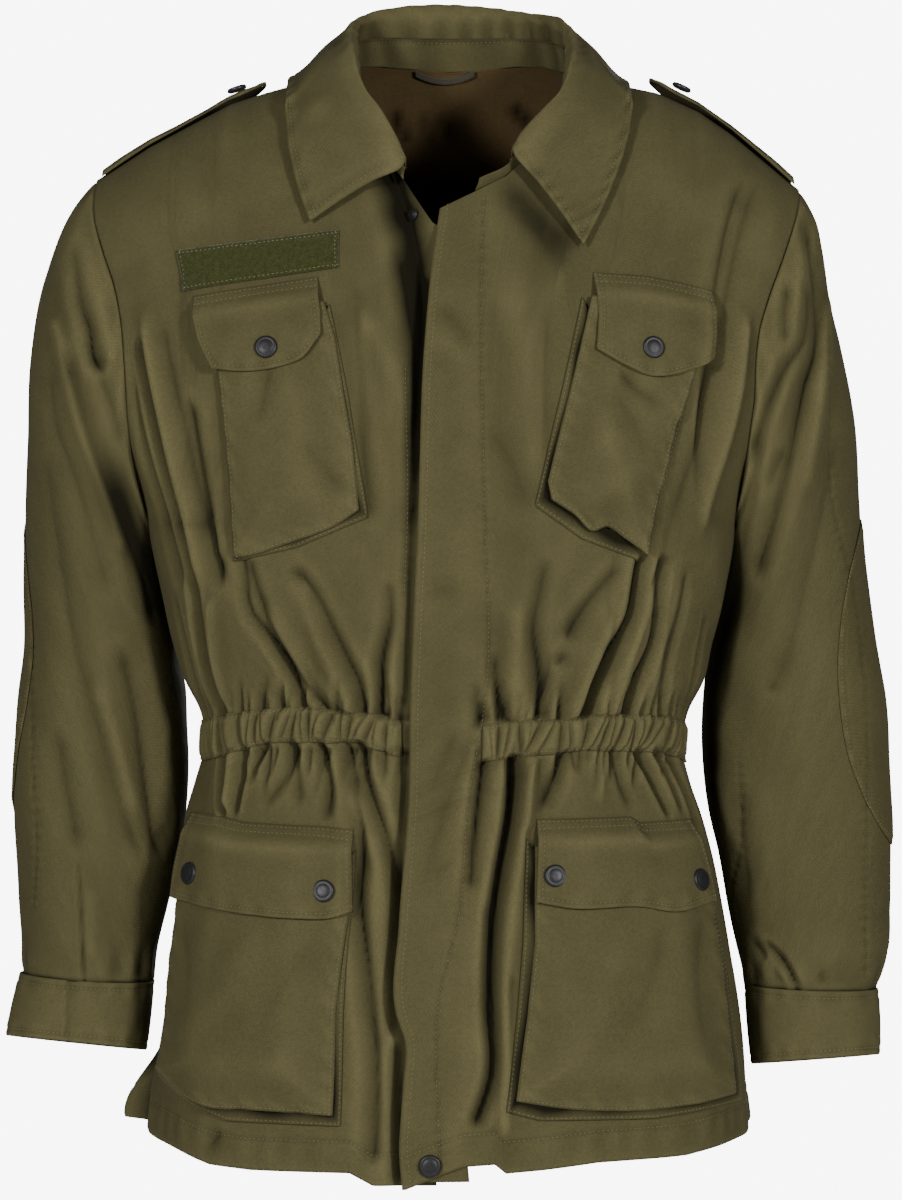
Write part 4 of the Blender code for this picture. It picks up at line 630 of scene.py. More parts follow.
# Seams of the two-piece sleeves: x and z of the outer one in front, and of the inner one.
SLEEVE_SEAMS = {
    RIGHT: (((-286, -378), (-286, -418), (-284, -472), (-282, -520), (-284, -560)),),
    LEFT: (
        ((257, -140), (258, -215), (262, -290), (276, -344), (284, -418), (285, -520), (284, -607)),
        ((199, -459), (198, -520), (194, -560)),
    ),
}
POCKET_CREASES = {
    RIGHT: (
        (6, -1.6, -0.4, (-114, -190), (-119, -215), (-123, -240)),
        (11, 1.0, 0.4, (-98, -195), (-97, -240), (-104, -290)),
        (8, -1.2, -0.5, (-62, -286), (-82, -262), (-100, -238)),
        (11, 0.8, 0.4, (-130, -230), (-126, -305)),
        (3, -1.4, -1.0, (-147, -497), (-147, -545)),
        (13, -1.2, -0.5, (-78, -565), (-108, -610), (-130, -655)),
        (13, 1.0, 0.5, (-108, -562), (-140, -610), (-168, -655)),
        (9, -1.3, -0.4, (-176, -555), (-168, -600), (-173, -645)),
        (12, 0.9, 0.4, (-92, -635), (-120, -680)),
    ),
    LEFT: (
        (4, -1.6, -0.8, (100, -150), (117, -177)),
        (5, -1.8, -0.7, (108, -194), (124, -214), (142, -224)),
        (8, -1.5, -0.5, (102, -203), (118, -232), (129, -264)),
        (9, 1.2, 0.7, (94, -222), (105, -262), (110, -295)),
        (8, -1.3, -0.5, (152, -222), (137, -262), (126, -305)),
        (4, -1.4, -1.0, (126, -497), (136, -558)),
        (12, -1.3, -0.5, (137, -558), (128, -600), (108, -645)),
        (12, 1.1, 0.5, (112, -560), (95, -610), (84, -665)),
        (9, -1.2, -0.5, (166, -555), (160, -600), (166, -655)),
        (10, 0.9, 0.5, (68, -560), (72, -635)),
    ),
}
# Painted shadows, where the cloth's colour is darkened as if it lay in shadow: half width, depth, then points
# (x, z).
FRONT_SHADES = {
    RIGHT: (
        (12, 3.4, (-66, -10), (-40, -66), (-30, -100), (-24, -140), (-20, -190)),
        (8, 2.4, (-26, -120), (-22, -200), (-23, -290)),
    ),
    LEFT: ((10, 2.2, (26, -68), (50, -86), (74, -108), (88, -124)),),
}
SLEEVE_SHADES = {
    RIGHT: ((12, 3.6, (-238, -236), (-217, -296), (-203, -335), (-194, -368), (-186, -400)),),
    LEFT: ((11, 3.2, (208, -290), (196, -345), (186, -390), (181, -435), (182, -490), (190, -560)),),
}
BACK_SHADES = (
    (4, 3.0, (-40, 0), (-34, -18), (-27, -30)),
    (3, 2.5, (-17, -2), (-15, -20), (-13, -34)),
    (4, 2.5, (-6, -4), (-2, -15), (2, -26)),
    (5, 3.0, (42, 2), (50, -8), (60, -16)),
)
PAINTED_BACK_SHADE = (5.0, -24.0, 55.0, -300.0, 60.0)  # painted shade on the inside of the back, below the neck: depth, top and fade, bottom and fade
# Boxes on the fronts in which pockets hold the creases down: low and high x, low and high z.
AREA_FADE = 8.0
POCKET_AREAS = {
    RIGHT: ((-198, -64, -697, -499), (-160, -56, -325, -150)),
    LEFT: ((46, 196, -697, -498), (60, 172, -325, -150)),
}
# Long folds of the back, on each side: half width, height at the start and at the end, then points (x, z).
BACK_FOLDS = (
    (12, -3.0, -1.5, (196, -150), (170, -215), (120, -300), (90, -370)),
    (12, -2.5, -1.0, (150, -120), (120, -190), (70, -280)),
    (10, -4.5, -2.0, (225, -250), (205, -300), (170, -360)),
    (12, 2.5, 1.0, (180, -150), (140, -240), (100, -330)),
    (11, -3.5, -1.5, (100, -560), (110, -640), (105, -715)),
    (11, 3.0, 1.5, (55, -540), (60, -640), (62, -718)),
)
# Folds that fan out from the back's casing: their spacing and how it strays, their depth at the casing, how
# much deeper some are and their depth at the end, and their lengths up and down, least and how much more.
BACK_FANS, FAN_STEP, FAN_STRAY = 17, 29.0, 7.0
FAN_DEPTH, FAN_DEEPER, FAN_END = -3.0, -3.5, -0.5
FAN_UP, FAN_DOWN = (45, 75), (40, 80)


# ---------------------------------------------------------------- numbers
def smooth(at, knots, values):
    """A cubic through the knots, with slopes taken from their neighbours."""
    knots, values = np.asarray(knots, float), np.asarray(values, float)
    slopes = np.gradient(values, knots, axis=0)
    at = np.clip(at, knots[0], knots[-1])
    i = np.clip(np.searchsorted(knots, at, side="right") - 1, 0, len(knots) - 2)
    tail = (1,) * (values.ndim - 1)
    step = (knots[i + 1] - knots[i]).reshape(np.shape(at) + tail)
    t = np.reshape(at - knots[i], np.shape(at) + tail) / step
    return (
        (2 * t**3 - 3 * t**2 + 1) * values[i]
        + (t**3 - 2 * t**2 + t) * step * slopes[i]
        + (3 * t**2 - 2 * t**3) * values[i + 1]
        + (t**3 - t**2) * step * slopes[i + 1]
    )


def ease(t):
    """A smooth rise from 0 to 1."""
    t = np.clip(t, 0, 1)
    return t * t * (3 - 2 * t)


def bell(at, middle, width):
    """A smooth hump, 1 high in the middle."""
    return np.exp(-(((at - middle) / width) ** 2))


def groove(distance, inset):
    """Shape of a stitched line at an inset from an edge."""
    return bell(distance, inset, GROOVE_WIDTH)


def falling(distance, over):
    """1 at no distance, and fading out over a few times this length."""
    return np.exp(-distance / over)


def ripple(at, length, stray, slow):
    """A wave that doesn't repeat evenly."""
    return np.sin(at / length + stray * np.sin(at / slow))


def edge_wave(at, distance, edge):
    """The wave beside an edge, at a place along it and a distance from it."""
    height, length, stray, slow, middle, half = EDGE_WAVES[edge]
    return height * ripple(at, length, stray, slow) * bell(distance, middle, half)


def lengths_along(points):
    """Distance of each point of a line from its start."""
    return np.r_[0, np.cumsum(np.linalg.norm(np.diff(points, axis=0), axis=1))]


def along(points, shares):
    """Points at these shares of a polyline's length."""
    points = np.asarray(points, float)
    lengths = lengths_along(points)
    at = np.asarray(shares) * lengths[-1]
    return np.stack([np.interp(at, lengths, column) for column in points.T], -1)


def patch(edges, columns, rows):
    """Coons patch between top, bottom, right-hand and left-hand edges: (rows, columns, 2), from the top."""
    u, v = np.linspace(0, 1, columns), np.linspace(0, 1, rows)
    top, bottom = along(edges[0], u)[None], along(edges[1], u)[None]
    near, far = along(edges[2], v)[:, None], along(edges[3], v)[:, None]
    u, v = u[None, :, None], v[:, None, None]
    upper = (1 - u) * near[0, 0] + u * far[0, 0]
    lower = (1 - u) * near[-1, 0] + u * far[-1, 0]
    return (1 - v) * (top - upper) + v * (bottom - lower) + (1 - u) * near + u * far


# ---------------------------------------------------------------- the body's form
def body_at(z, column):
    return smooth(z, BODY["z"], BODY[column])


def fly_at(z, column):
    return smooth(z, FLY["z"], FLY[column])


def shoulder_z(x):
    return np.interp(x, SHOULDER_X, SHOULDER_Z)


def turn(x, z, grow=0.0):
    """From 0 on the shoulder line to 1 where the cloth hangs straight."""
    below = np.clip(shoulder_z(x) + grow - z, 0, SHOULDER_TURN)
    return np.sqrt(np.clip(1 - (1 - below / SHOULDER_TURN) ** 2, 0, 1))


def reach(z, facing):
    """Depth from the side seams to the middle of the front or the back."""
    if facing == FRONT:
        return body_at(z, "front") + body_at(z, "widest")
    return body_at(z, "back") - body_at(z, "widest")


def armhole_span(side):
    """Middle height of the armhole seam, and half its height."""
    low, high = ARMHOLE[side][[0, -1], 0]
    return (low + high) / 2, (high - low) / 2


def armhole_half_depth(z, side):
    middle, half = armhole_span(side)
    power = np.where(z < middle, ARMPIT_POWER, 0.5)
    return ARMHOLE_DEPTH * np.clip(1 - ((z - middle) / half) ** 2, 0, 1) ** power


def half_width(z, side, facing):
    """Half width of the full section. Over the armpit the section passes through the armhole seam."""
    heights, distances = ARMHOLE[side].T
    held = np.minimum(z, heights[-1] - 1)
    seam_x = smooth(held, heights, distances)
    room = reach(held, facing) * turn(side * seam_x, held)
    share = np.clip(armhole_half_depth(held, side) / np.maximum(room, 1e-3), 0, 0.97)
    over = seam_x / (1 - share**ROUNDNESS) ** (1 / ROUNDNESS)
    return np.where(z > heights[0], over, body_at(z, SIDE_NAMES[side]))


def half_at(x, z, facing):
    """Half width on the side that x, or an angle, lies on."""
    return np.where(x < 0, half_width(z, RIGHT, facing), half_width(z, LEFT, facing))


def depth_share(across, least=0.0):
    """Share of the full depth at this share of the half width."""
    return np.clip(1 - np.abs(across) ** ROUNDNESS, least, 1) ** (1 / ROUNDNESS)


def edge_angle(z, side, facing):
    """Angle of the side seam, or of the armhole seam over the armpit."""
    heights, distances = ARMHOLE[side].T
    inside = np.clip(smooth(z, heights, distances) / half_width(z, side, facing), 0, 1)
    return side * np.where(z > heights[0], np.arcsin(inside), math.pi / 2)


def body_point(angle, z, facing, grow=0.0):
    """Point of the body at an angle from its middle plane, moved out by grow."""
    angle, z, grow = np.broadcast_arrays(*(np.asarray(value, float) for value in (angle, z, grow)))
    x = (half_at(angle, z, facing) + grow) * np.sin(angle)
    depth = (reach(z, facing) + grow) * depth_share(np.sin(angle))
    y = body_at(z, "widest") + facing * depth * turn(x, z, grow)
    return np.stack([x, y, z], -1)


def angle_of(x, z, facing):
    return np.arcsin(np.clip(x / half_at(x, z, facing), -1, 1))


def shoulder_top(x, y):
    """Height of the shoulder's upper face."""
    ridge = shoulder_z(x)
    section = ridge - SHOULDER_DROP
    share = depth_share(x / half_at(x, section, FRONT))
    across = np.clip(np.abs(y) / (reach(section, FRONT) * share), 0, 0.98)
    return ridge - SHOULDER_TURN * (1 - np.sqrt(1 - across**2))


def clear_of_body(points, gap):
    """Moves points that are nearer than gap to the body outward, front, back or up over the shoulder."""
    x, y, z = np.moveaxis(np.array(points, float), -1, 0)
    widest = body_at(z, "widest")
    turn_z = shoulder_z(x) - SHOULDER_TURN
    result = np.array(points, float)
    for facing in (FRONT, BACK):
        share = depth_share(x / half_at(x, z, facing), 1e-6)
        depth = (y - widest) / (reach(z, facing) * share + gap)
        height = np.maximum(z - turn_z, 0) / (SHOULDER_TURN + gap)
        inside = (facing * depth >= 0) & (np.hypot(depth, height) < 1)
        scale = 1 / np.maximum(np.hypot(depth, height), 1e-6)
        result[..., 1] = np.where(inside, widest + (y - widest) * scale, result[..., 1])
        result[..., 2] = np.where(inside & (z > turn_z), turn_z + (z - turn_z) * scale, result[..., 2])
    return result


# ---------------------------------------------------------------- fly and hem
def hem_flare(angle, z):
    """How far the back swings out near a side seam's foot."""
    flare = np.where(angle < 0, HEM_FLARE[RIGHT], HEM_FLARE[LEFT])
    from_seam = (math.pi / 2 - np.abs(angle)) * half_width(z, RIGHT, BACK)
    beyond = np.maximum(from_seam - FLARE_FROM_SEAM, 0)
    near = ease(from_seam / FLARE_WIDTH) * bell(beyond, 0, FLARE_WIDTH)
    return flare * near * ease((FLARE_TOP - z) / (FLARE_TOP - FLARE_FULL))


def fly_lift(x, z):
    """How far the left front stands off the body near its free edge."""
    inward = x - fly_at(z, "x")
    return fly_at(z, "lift") * (1 - ease((inward - FLY_UNDERLAP - 6) / LIFT_FADE))


def fly_dip(x, z):
    """How far the right front sinks behind the fly."""
    before = fly_at(z, "x") - x
    return -fly_at(z, "dip") * (1 - ease((before + 2) / DIP_FADE))


# ---------------------------------------------------------------- creases
def fine_line(points, steps=4):
    """A smooth curve through a few points."""
    points = np.asarray(points, float)
    if len(points) < 3:
        return points
    knots = lengths_along(points)
    return smooth(np.linspace(0, knots[-1], steps * (len(points) - 1) + 1), knots, points)


def nearest(line, u, v):
    """Distance from (u, v) to a line of points, and how far along it the nearest point lies."""
    best, at, run = np.full(u.shape, np.inf), np.zeros(u.shape), 0.0
    for start, end in zip(line, line[1:]):
        step = end - start
        length = float(np.hypot(*step))
        share = np.clip(((u - start[0]) * step[0] + (v - start[1]) * step[1]) / length**2, 0, 1)
        away = np.hypot(u - start[0] - share * step[0], v - start[1] - share * step[1])
        at = np.where(away < best, run + share * length, at)
        best = np.minimum(best, away)
        run += length
    return best, at


def near_box(line, u, v, margin):
    low, high = line.min(0) - margin, line.max(0) + margin
    return (u > low[0]) & (u < high[0]) & (v > low[1]) & (v < high[1])


def press(rows, u, v):
    """Summed height of creases at (u, v)."""
    total = np.zeros(np.shape(u))
    for half, start, end, *points in rows:
        line = fine_line(points)
        near = near_box(line, u, v, CREASE_MARGIN * half)
        if near.any():
            away, at = nearest(line, u[near], v[near])
            length = lengths_along(line)[-1]
            height = CREASE_GAIN * (start + (end - start) * at / length)
            height *= ease(np.minimum(at, length - at) / min(CREASE_TAPER * half, length / 2))
            away = away / half
            profile = np.exp(-(away ** (VALLEY_POWER if start < 0 else RIDGE_POWER)))
            if start < 0:
                profile -= SHOULDER * bell(away, SHOULDER_AT, 1.0)
            total[near] += height * profile * ease((CREASE_MARGIN - away) / 1.5)
    return total


def shade(rows, u, v):
    """Painted shadow: how much deeper the cloth counts, and so how much darker its colour, where it lies in
    shadow: half width, depth, then points.
    """
    total = np.zeros(np.shape(u))
    for half, depth, *points in rows:
        line = fine_line(points)
        away, at = nearest(line, u, v)
        length = lengths_along(line)[-1]
        total += depth * bell(away, 0, half) * ease(np.minimum(at, length - at) / (SHADE_TAPER * length))
    return total


def pucker(lines, u, v, height=0.35):
    """A sewn line's groove, and the short waves that its thread draws up beside it."""
    total = np.zeros(np.shape(u))
    for points in lines:
        line = fine_line(points)
        near = near_box(line, u, v, 3 * PUCKER_WIDTH)
        if near.any():
            away, at = nearest(line, u[near], v[near])
            wave = ripple(at, PUCKER_PITCH / (2 * math.pi), *PUCKER_STRAY)
            total[near] += height * bell(away, 0, PUCKER_WIDTH) * wave
            total[near] -= GROOVE_DEPTH * groove(away, 0)
    return total


def drift(u, v):
    """The slow unevenness of worn cloth."""
    return (
        0.55 * np.sin(u / 19 + v / 47 + 1)
        + 0.45 * np.sin(u / 31 - v / 27)
        + 0.3 * np.sin(u / 11.3 + v / 16.1 + 2 * np.sin(v / 60))
    )


def arc_of(x, z, side):
    """Distance round the body from its middle plane."""
    half = half_width(z, side, FRONT)
    return half * np.arcsin(np.clip(x / half, -1, 1))


def from_casing(row):
    """The crease begun under the casing, where it leaves the casing's edge."""
    half, start, end, first, second, *rest = row
    if not CASING_REACH[0] < first[1] < CASING_REACH[1]:
        return row
    first, second = np.array(first, float), np.array(second, float)
    back = (first - second) / np.linalg.norm(first - second) * CREASE_TAPER * half
    return (half, start, end, tuple(first + back), tuple(second), *rest)


def round_rows(rows, side):
    """The creases, the wide ones narrowed, with their x turned into distance round the body."""
    result = []
    for half, start, end, *points in rows:
        half = max(NARROWED * half, min(half, NARROWEST))
        result.append((half, start, end, *((float(arc_of(x, z, side)), z) for x, z in points)))
    return result


def part_of(i):
    """An even spread of shares of 1, to vary what repeats."""
    return (i * 0.6180339887) % 1.0


def gather_rows(tops, bottoms):
    """Short creases that leave the casing at each gather, up and down, and lesser ones beside them."""
    rows = []
    for i, (top, bottom) in enumerate(zip(tops, bottoms)):
        slant = 0.5 * (top - bottom)
        up, down = (LEAST_GATHER + MORE_GATHER * part_of(k) for k in (i, i + 5))
        lengths = ((up, down), (LESSER_REACH * down, LESSER_REACH * up))
        for (half, height, aside), (above, below) in zip(GATHER_CREASES, lengths):
            high, low = top + aside, bottom + aside
            rows.append((half, height, 0.0, (high, CASING_HIGH - 2), (high + slant, CASING_HIGH + above)))
            rows.append((half, height, 0.0, (low, CASING_LOW + 2), (low - slant, CASING_LOW - below)))
    return rows


def back_rows():
    """Folds of the back: those that fan out from the casing, up and down, and the long soft ones."""
    rows = []
    for i in range(BACK_FANS):
        centre = (i - BACK_FANS // 2) * FAN_STEP + FAN_STRAY * math.sin(2.7 * i)
        deep = FAN_DEPTH + FAN_DEEPER * part_of(i)
        lean = 0.10 * centre + 9 * math.sin(3.1 * i)
        up = FAN_UP[0] + FAN_UP[1] * part_of(i + 3)
        down = -(FAN_DOWN[0] + FAN_DOWN[1] * part_of(i + 7))
        for k, edge, run, bent, tip in ((1, CASING_HIGH, up, 0.4, 1.0), (2, CASING_LOW, down, 0.5, 1.2)):
            points = (centre, edge), (centre + lean * bent, edge + run / 2), (centre + lean * tip, edge + run)
            rows.append((5 + 2 * part_of(i + k), deep, FAN_END, *points))
    for side in (RIGHT, LEFT):
        for half, start, end, *points in BACK_FOLDS:
            rows.append((half, start, end, *((side * x, z) for x, z in points)))
    return rows


def held_down(x, z, side):
    """1 where a pocket lies on the front, 0 away from it."""
    total = np.zeros(np.shape(x))
    for x0, x1, z0, z1 in POCKET_AREAS[side]:
        across = ease((x - x0) / AREA_FADE) * ease((x1 - x) / AREA_FADE)
        total = np.maximum(total, across * ease((z - z0) / AREA_FADE) * ease((z1 - z) / AREA_FADE))
    return total


_creases = {}


def front_relief(x, z, side):
    """How far the front's cloth stands off the plain body."""
    if side not in _creases:
        tops, bottoms = np.array(CASING_GATHERS[side], float).T
        rows = [*CREASES[side], *gather_rows(tops, bottoms)]
        _creases[side] = round_rows([from_casing(row) for row in rows], side)
    arc = arc_of(x, z, side)
    soft = press(_creases[side], arc, z) * (1 - POCKET_CALM * held_down(x, z, side)) + drift(arc, z)
    beside = np.abs(edge_angle(z, side, FRONT)) - np.abs(angle_of(x, z, FRONT))
    from_seam = beside * half_width(z, side, FRONT)
    own = fly_lift(x, z) if side == LEFT else fly_dip(x, z)
    top, bottom = casing_edges(x, side)
    band = ease((top + 1 - z) / 4) * ease((z - bottom + 1) / 4) * ease((side * x - BAND_START[side]) / 4)
    soft = soft * (1 - CASING_CALM * band)
    return own + soft * ease(from_seam / SEAM_CALM) * ease((shoulder_z(x) - z) / SEAM_CALM)


def on_front(x, z, side, lift):
    """Point on a front, at x and z of the plain body, lifted off the cloth."""
    return body_point(angle_of(x, z, FRONT), z, FRONT, front_relief(x, z, side) + lift)


# ---------------------------------------------------------------- meshes
def grid_faces(rows, columns, first, around):
    index = first + np.arange(rows * columns).reshape(rows, columns)
    if around:
        index = np.hstack([index, index[:, :1]])
    faces = np.stack([index[:-1, :-1], index[:-1, 1:], index[1:, 1:], index[1:, :-1]], -1).reshape(-1, 4)
    return index, faces


def rim_faces(fine, coarse, forward):
    """Triangles between an edge of the face and that of the lining, which has half its steps."""
    a, b, c, i, k = fine[:-2:2], fine[1:-1:2], fine[2::2], coarse[:-1], coarse[1:]
    faces = np.concatenate([np.stack(t, -1) for t in ((a, b, i), (b, k, i), (b, c, k))])
    return faces if forward else faces[:, ::-1]


def run_along(points, axis):
    """Distance of each point of a grid from its first row (axis 0) or its first column (axis 1)."""
    steps = np.linalg.norm(np.diff(points, axis=axis), axis=-1).cumsum(axis=axis)
    return np.pad(steps, ((1, 0), (0, 0)) if axis == 0 else ((0, 0), (1, 0)))


def edge_distances(points):
    """Distance of each point from the grid's first and last row and first and last column."""
    down, across = run_along(points, 0), run_along(points, 1)
    return down, down[-1:] - down, across, across[:, -1:] - across


def from_free_edges(points):
    """Distance from the nearest edge but the first row."""
    return np.minimum.reduce(edge_distances(points)[1:])


def cloth_places(points):
    """Place of each point in its cloth: distance across from the middle column, and down."""
    down, across = run_along(points, 0), run_along(points, 1)
    across = across - across[:, points.shape[1] // 2, None]
    return np.stack([across, down, np.zeros_like(down)], -1)


def unit_normals(points):
    normal = np.cross(np.gradient(points, axis=1), np.gradient(points, axis=0))
    return normal / np.maximum(np.linalg.norm(normal, axis=-1, keepdims=True), 1e-9)


def faces_out(face, lining):
    """Whether the grid's normals point away from its lining."""
    normal = np.cross(np.gradient(face, axis=1), np.gradient(face, axis=0))
    out = face[::2, ::2][: lining.shape[0], : lining.shape[1]] - lining
    return float((normal[::2, ::2][: out.shape[0], : out.shape[1]] * out).sum()) > 0


def averaged(grid, axis, steps, around):
    """The grid with each point replaced by the mean of those up to so many steps away along one axis."""
    widths = [(steps, steps) if k == axis else (0, 0) for k in range(grid.ndim)]
    padded = np.pad(grid, widths, mode="wrap" if around and axis == 1 else "edge")
    size = grid.shape[axis]
    return np.mean([np.take(padded, range(k, k + size), axis) for k in range(2 * steps + 1)], axis=0)


def fold_depth(face, around, outwards):
    """How far each point lies under the cloth round it, in mm: positive in a fold, negative on a ridge."""
    normals = outwards * unit_normals(face)
    total = np.zeros(face.shape[:2])
    for distance in FADE_DISTANCES:
        mean = face
        for axis in (0, 1):
            steps = lengths_along(face.mean(1 - axis) if axis == 0 or not around else face[0])
            count = int(np.clip(round(distance * len(steps) / max(steps[-1], 1.0)), 1, 24))
            mean = averaged(mean, axis, count, around)
        total += ((mean - face) * normals).sum(-1)
    return total / len(FADE_DISTANCES)


def linked(name, data):
    made = bpy.data.objects.new(name, data)
    bpy.context.scene.collection.objects.link(made)
    return made


def mesh_of(name, points, faces, *finishes):
    """A smooth mesh of points in millimetres, with its materials."""
    mesh = bpy.data.meshes.new(name)
    mesh.from_pydata((points / METRE).tolist(), [], faces)
    for finish in finishes:
        mesh.materials.append(material(finish))
    mesh.shade_smooth()
    return mesh


def shell(
    node, face, lining, finish, around=False, kind=None, lined="cloth_inside", shaded=0.0, inner_shade=0.0
):
    """Thin cloth between a fine grid and one of every second point behind it, standing for a CAD node.

    It returns 1 where the grid's own normals point out of the cloth, and -1 where they point into it.
    """
    index, quads = grid_faces(*face.shape[:2], 0, around)
    inner, back_quads = grid_faces(*lining.shape[:2], face[..., 0].size, around)
    rims = [rim_faces(index[0], inner[0], False), rim_faces(index[-1], inner[-1], True)]
    if not around:
        rims += [rim_faces(index[:, 0], inner[:, 0], True), rim_faces(index[:, -1], inner[:, -1], False)]
    groups = [quads, np.concatenate(rims), back_quads[:, ::-1]]
    outwards = 1.0 if faces_out(face, lining) else -1.0
    if outwards < 0:
        groups = [group[:, ::-1] for group in groups]
    name = f"{node}_{kind or finish}"
    points = np.concatenate([face.reshape(-1, 3), lining.reshape(-1, 3)])
    mesh = mesh_of(name, points, [row for group in groups for row in group.tolist()], finish, lined)
    places = cloth_places(face)
    places = np.concatenate([places.reshape(-1, 3), places[::2, ::2].reshape(-1, 3)])
    mesh.attributes.new("cloth", "FLOAT_VECTOR", "POINT").data.foreach_set("vector", places.ravel())
    # the depth attribute: how deep in a fold each point lies, plus the painted shadows; the cloth's colour is
    # painted darker where it is deep, and paler on a ridge
    inner_depth = np.zeros(lining.shape[:2]) + inner_shade
    depth = np.concatenate([(fold_depth(face, around, outwards) + shaded).ravel(), inner_depth.ravel()])
    mesh.attributes.new("depth", "FLOAT", "POINT").data.foreach_set("value", depth)
    inside = np.zeros(len(mesh.polygons), np.int32)
    inside[len(quads) + len(groups[1]) :] = 1
    mesh.polygons.foreach_set("material_index", inside)
    declare(linked(name, mesh), node)
    return outwards


def declare(made, node):
    """Hangs a piece on the root body, and hides the CAD part that it stands for."""
    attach(made, "root")
    if node:
        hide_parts(node)


def lowest(height):
    """Every second point's lowest neighbour, for a lining that stays behind sharp valleys."""
    padded = np.pad(height, 2, mode="edge")
    rows, columns = height.shape
    shifts = [(i, j) for i in range(5) for j in range(5)]
    return np.minimum.reduce([padded[i : i + rows, j : j + columns] for i, j in shifts])[::2, ::2]


# ---------------------------------------------------------------- sewing
_threads = []


def sew(surface, rows, columns, sign, thread):
    """Lays stitches over a surface along a path of grid places."""
    normal = sign * unit_normals(surface)
    r, c = np.clip(rows, 0, len(surface) - 1.001), np.clip(columns, 0, surface.shape[1] - 1.001)
    i, j = r.astype(int), c.astype(int)
    s, t = (r - i)[:, None], (c - j)[:, None]
    path, out = (
        (1 - s) * ((1 - t) * g[i, j] + t * g[i, j + 1]) + s * ((1 - t) * g[i + 1, j] + t * g[i + 1, j + 1])
        for g in (surface, normal)
    )
    sew_along(path, out, thread)


def sew_along(path, out, thread="thread"):
    run = lengths_along(path)
    at = np.arange(STITCH_PITCH / 2, run[-1], STITCH_PITCH)
    point, ahead, up = (
        np.stack([np.interp(place, run, column) for column in values.T], -1)
        for place, values in ((at, path), (at + STITCH_LENGTH / 2, path), (at, out))
    )
    along_it = ahead - point
    along_it /= np.maximum(np.linalg.norm(along_it, axis=1, keepdims=True), 1e-9)
    _threads.append((thread, point, along_it, up / np.linalg.norm(up, axis=1, keepdims=True)))


def sew_edges(surface, sides, inset, sign, thread="thread", ends=(0.0, 1.0)):
    """Stitches along sides of a grid, at a distance in from them: top, bottom, near or far."""
    distances = dict(zip(("top", "bottom", "near", "far"), edge_distances(surface)))
    for side in sides:
        level = side in ("top", "bottom")
        flat = distances[side] if level else distances[side].T
        order = slice(None, None, -1) if side in ("bottom", "far") else slice(None)
        count = len(flat)
        place = np.array([np.interp(inset, line[order], np.arange(count)[order]) for line in flat.T])
        other = np.arange(len(place), dtype=float)
        kept = slice(int(ends[0] * len(place)), max(2, int(ends[1] * len(place))))
        place, other = place[kept], other[kept]
        rows, columns = (place, other) if level else (other, place)
        sew(surface, rows, columns, sign, thread)


def threads():
    """All the stitches of a thread as one mesh of small spindles."""
    corners = np.array(((-1, 0, -0.3), (1, 0, -0.3), (0, 1, 0), (0, -1, 0), (0, 0, 1), (0, 0, -1)), float)
    sides = np.array(((0, 4, 2), (0, 3, 4), (1, 2, 4), (1, 4, 3), (0, 2, 5), (0, 5, 3), (1, 5, 2), (1, 3, 5)))
    spread = corners * np.array((STITCH_LENGTH / 2, STITCH_WIDTH / 2, STITCH_WIDTH / 2))
    for name in sorted({row[0] for row in _threads}):
        rows = [row for row in _threads if row[0] == name]
        point, ahead, up = (np.concatenate([row[k] for row in rows]) for k in (1, 2, 3))
        axes = (ahead, np.cross(up, ahead), up)
        points = point[:, None] + sum(spread[None, :, k, None] * axis[:, None] for k, axis in enumerate(axes))
        faces = (np.arange(len(point))[:, None, None] * len(corners) + sides).reshape(-1, 3)
        mesh = mesh_of(name, points.reshape(-1, 3), faces.tolist(), name)
        declare(linked(f"topstitching_{name}", mesh), None)


# ---------------------------------------------------------------- fronts and back
def column_tops(place, shares, line):
    """Heights at which columns, each a share of the way across, meet the panel's upper edge."""
    xs, zs = np.array(line, float).T
    low, high = np.full(len(shares), ARMPIT_Z), np.full(len(shares), 40.0)
    for _ in range(40):
        middle = (low + high) / 2
        under = middle < np.interp(place(shares, middle), xs, zs)
        low, high = np.where(under, middle, low), np.where(under, high, middle)
    return low


def shoulder_line(side):
    return [(x, z) for x, z in zip(SHOULDER_X, SHOULDER_Z) if side * x > abs(NECK_CORNER[side])]


def panel(start_angle, end_angle, facing, top_line, hem_line, size, corners):
    """Angles and heights of a panel's points, from the hem up, with columns ending at the corners."""
    rows, columns = size

    def angle(share, z):
        return (1 - share) * start_angle(z) + share * end_angle(z)

    def place(share, z):
        at = angle(share, z)
        return half_at(at, z, facing) * np.sin(at)

    shares = np.linspace(0, 1, columns)
    for corner in corners:
        tops = place(shares, column_tops(place, shares, top_line))
        order = slice(None) if tops[-1] > tops[0] else slice(None, None, -1)
        share = float(np.interp(corner, tops[order], shares[order]))
        shares[np.argmin(np.abs(shares - share))] = share
    tops = column_tops(place, shares, top_line)
    hem_x, hem_z = np.array(hem_line, float).T
    hems = np.interp(place(shares, np.full(columns, HEM_LEVEL)), hem_x, hem_z)
    start = np.minimum(tops - 8, np.maximum(tops - SHOULDER_TURN, ARMPIT_Z + 20))
    over = rows // 6
    climb = np.linspace(0, 1, rows - over)[:, None]
    round_over = np.sin(np.linspace(0, math.pi / 2, over + 1))[1:, None]
    heights = np.concatenate([hems + (start - hems) * climb, start + (tops - start) * round_over])
    return angle(shares[None], heights), heights


def part_edges(points, facing, seam_sides):
    """Draws a panel back from its seams, so that neighbours stay a gap apart."""
    half = SEAM_GAP / 2
    points[-1, :, 1] += facing * half
    points[-1, :, 2] -= half
    for column, side in ((0, RIGHT), (-1, LEFT)):
        if side in seam_sides:
            below = points[:, column, 2] <= ARMPIT_Z
            points[:, column, 1] += np.where(below, facing * half, 0)
            points[:, column, 0] -= np.where(below, 0, side * half)
    return points


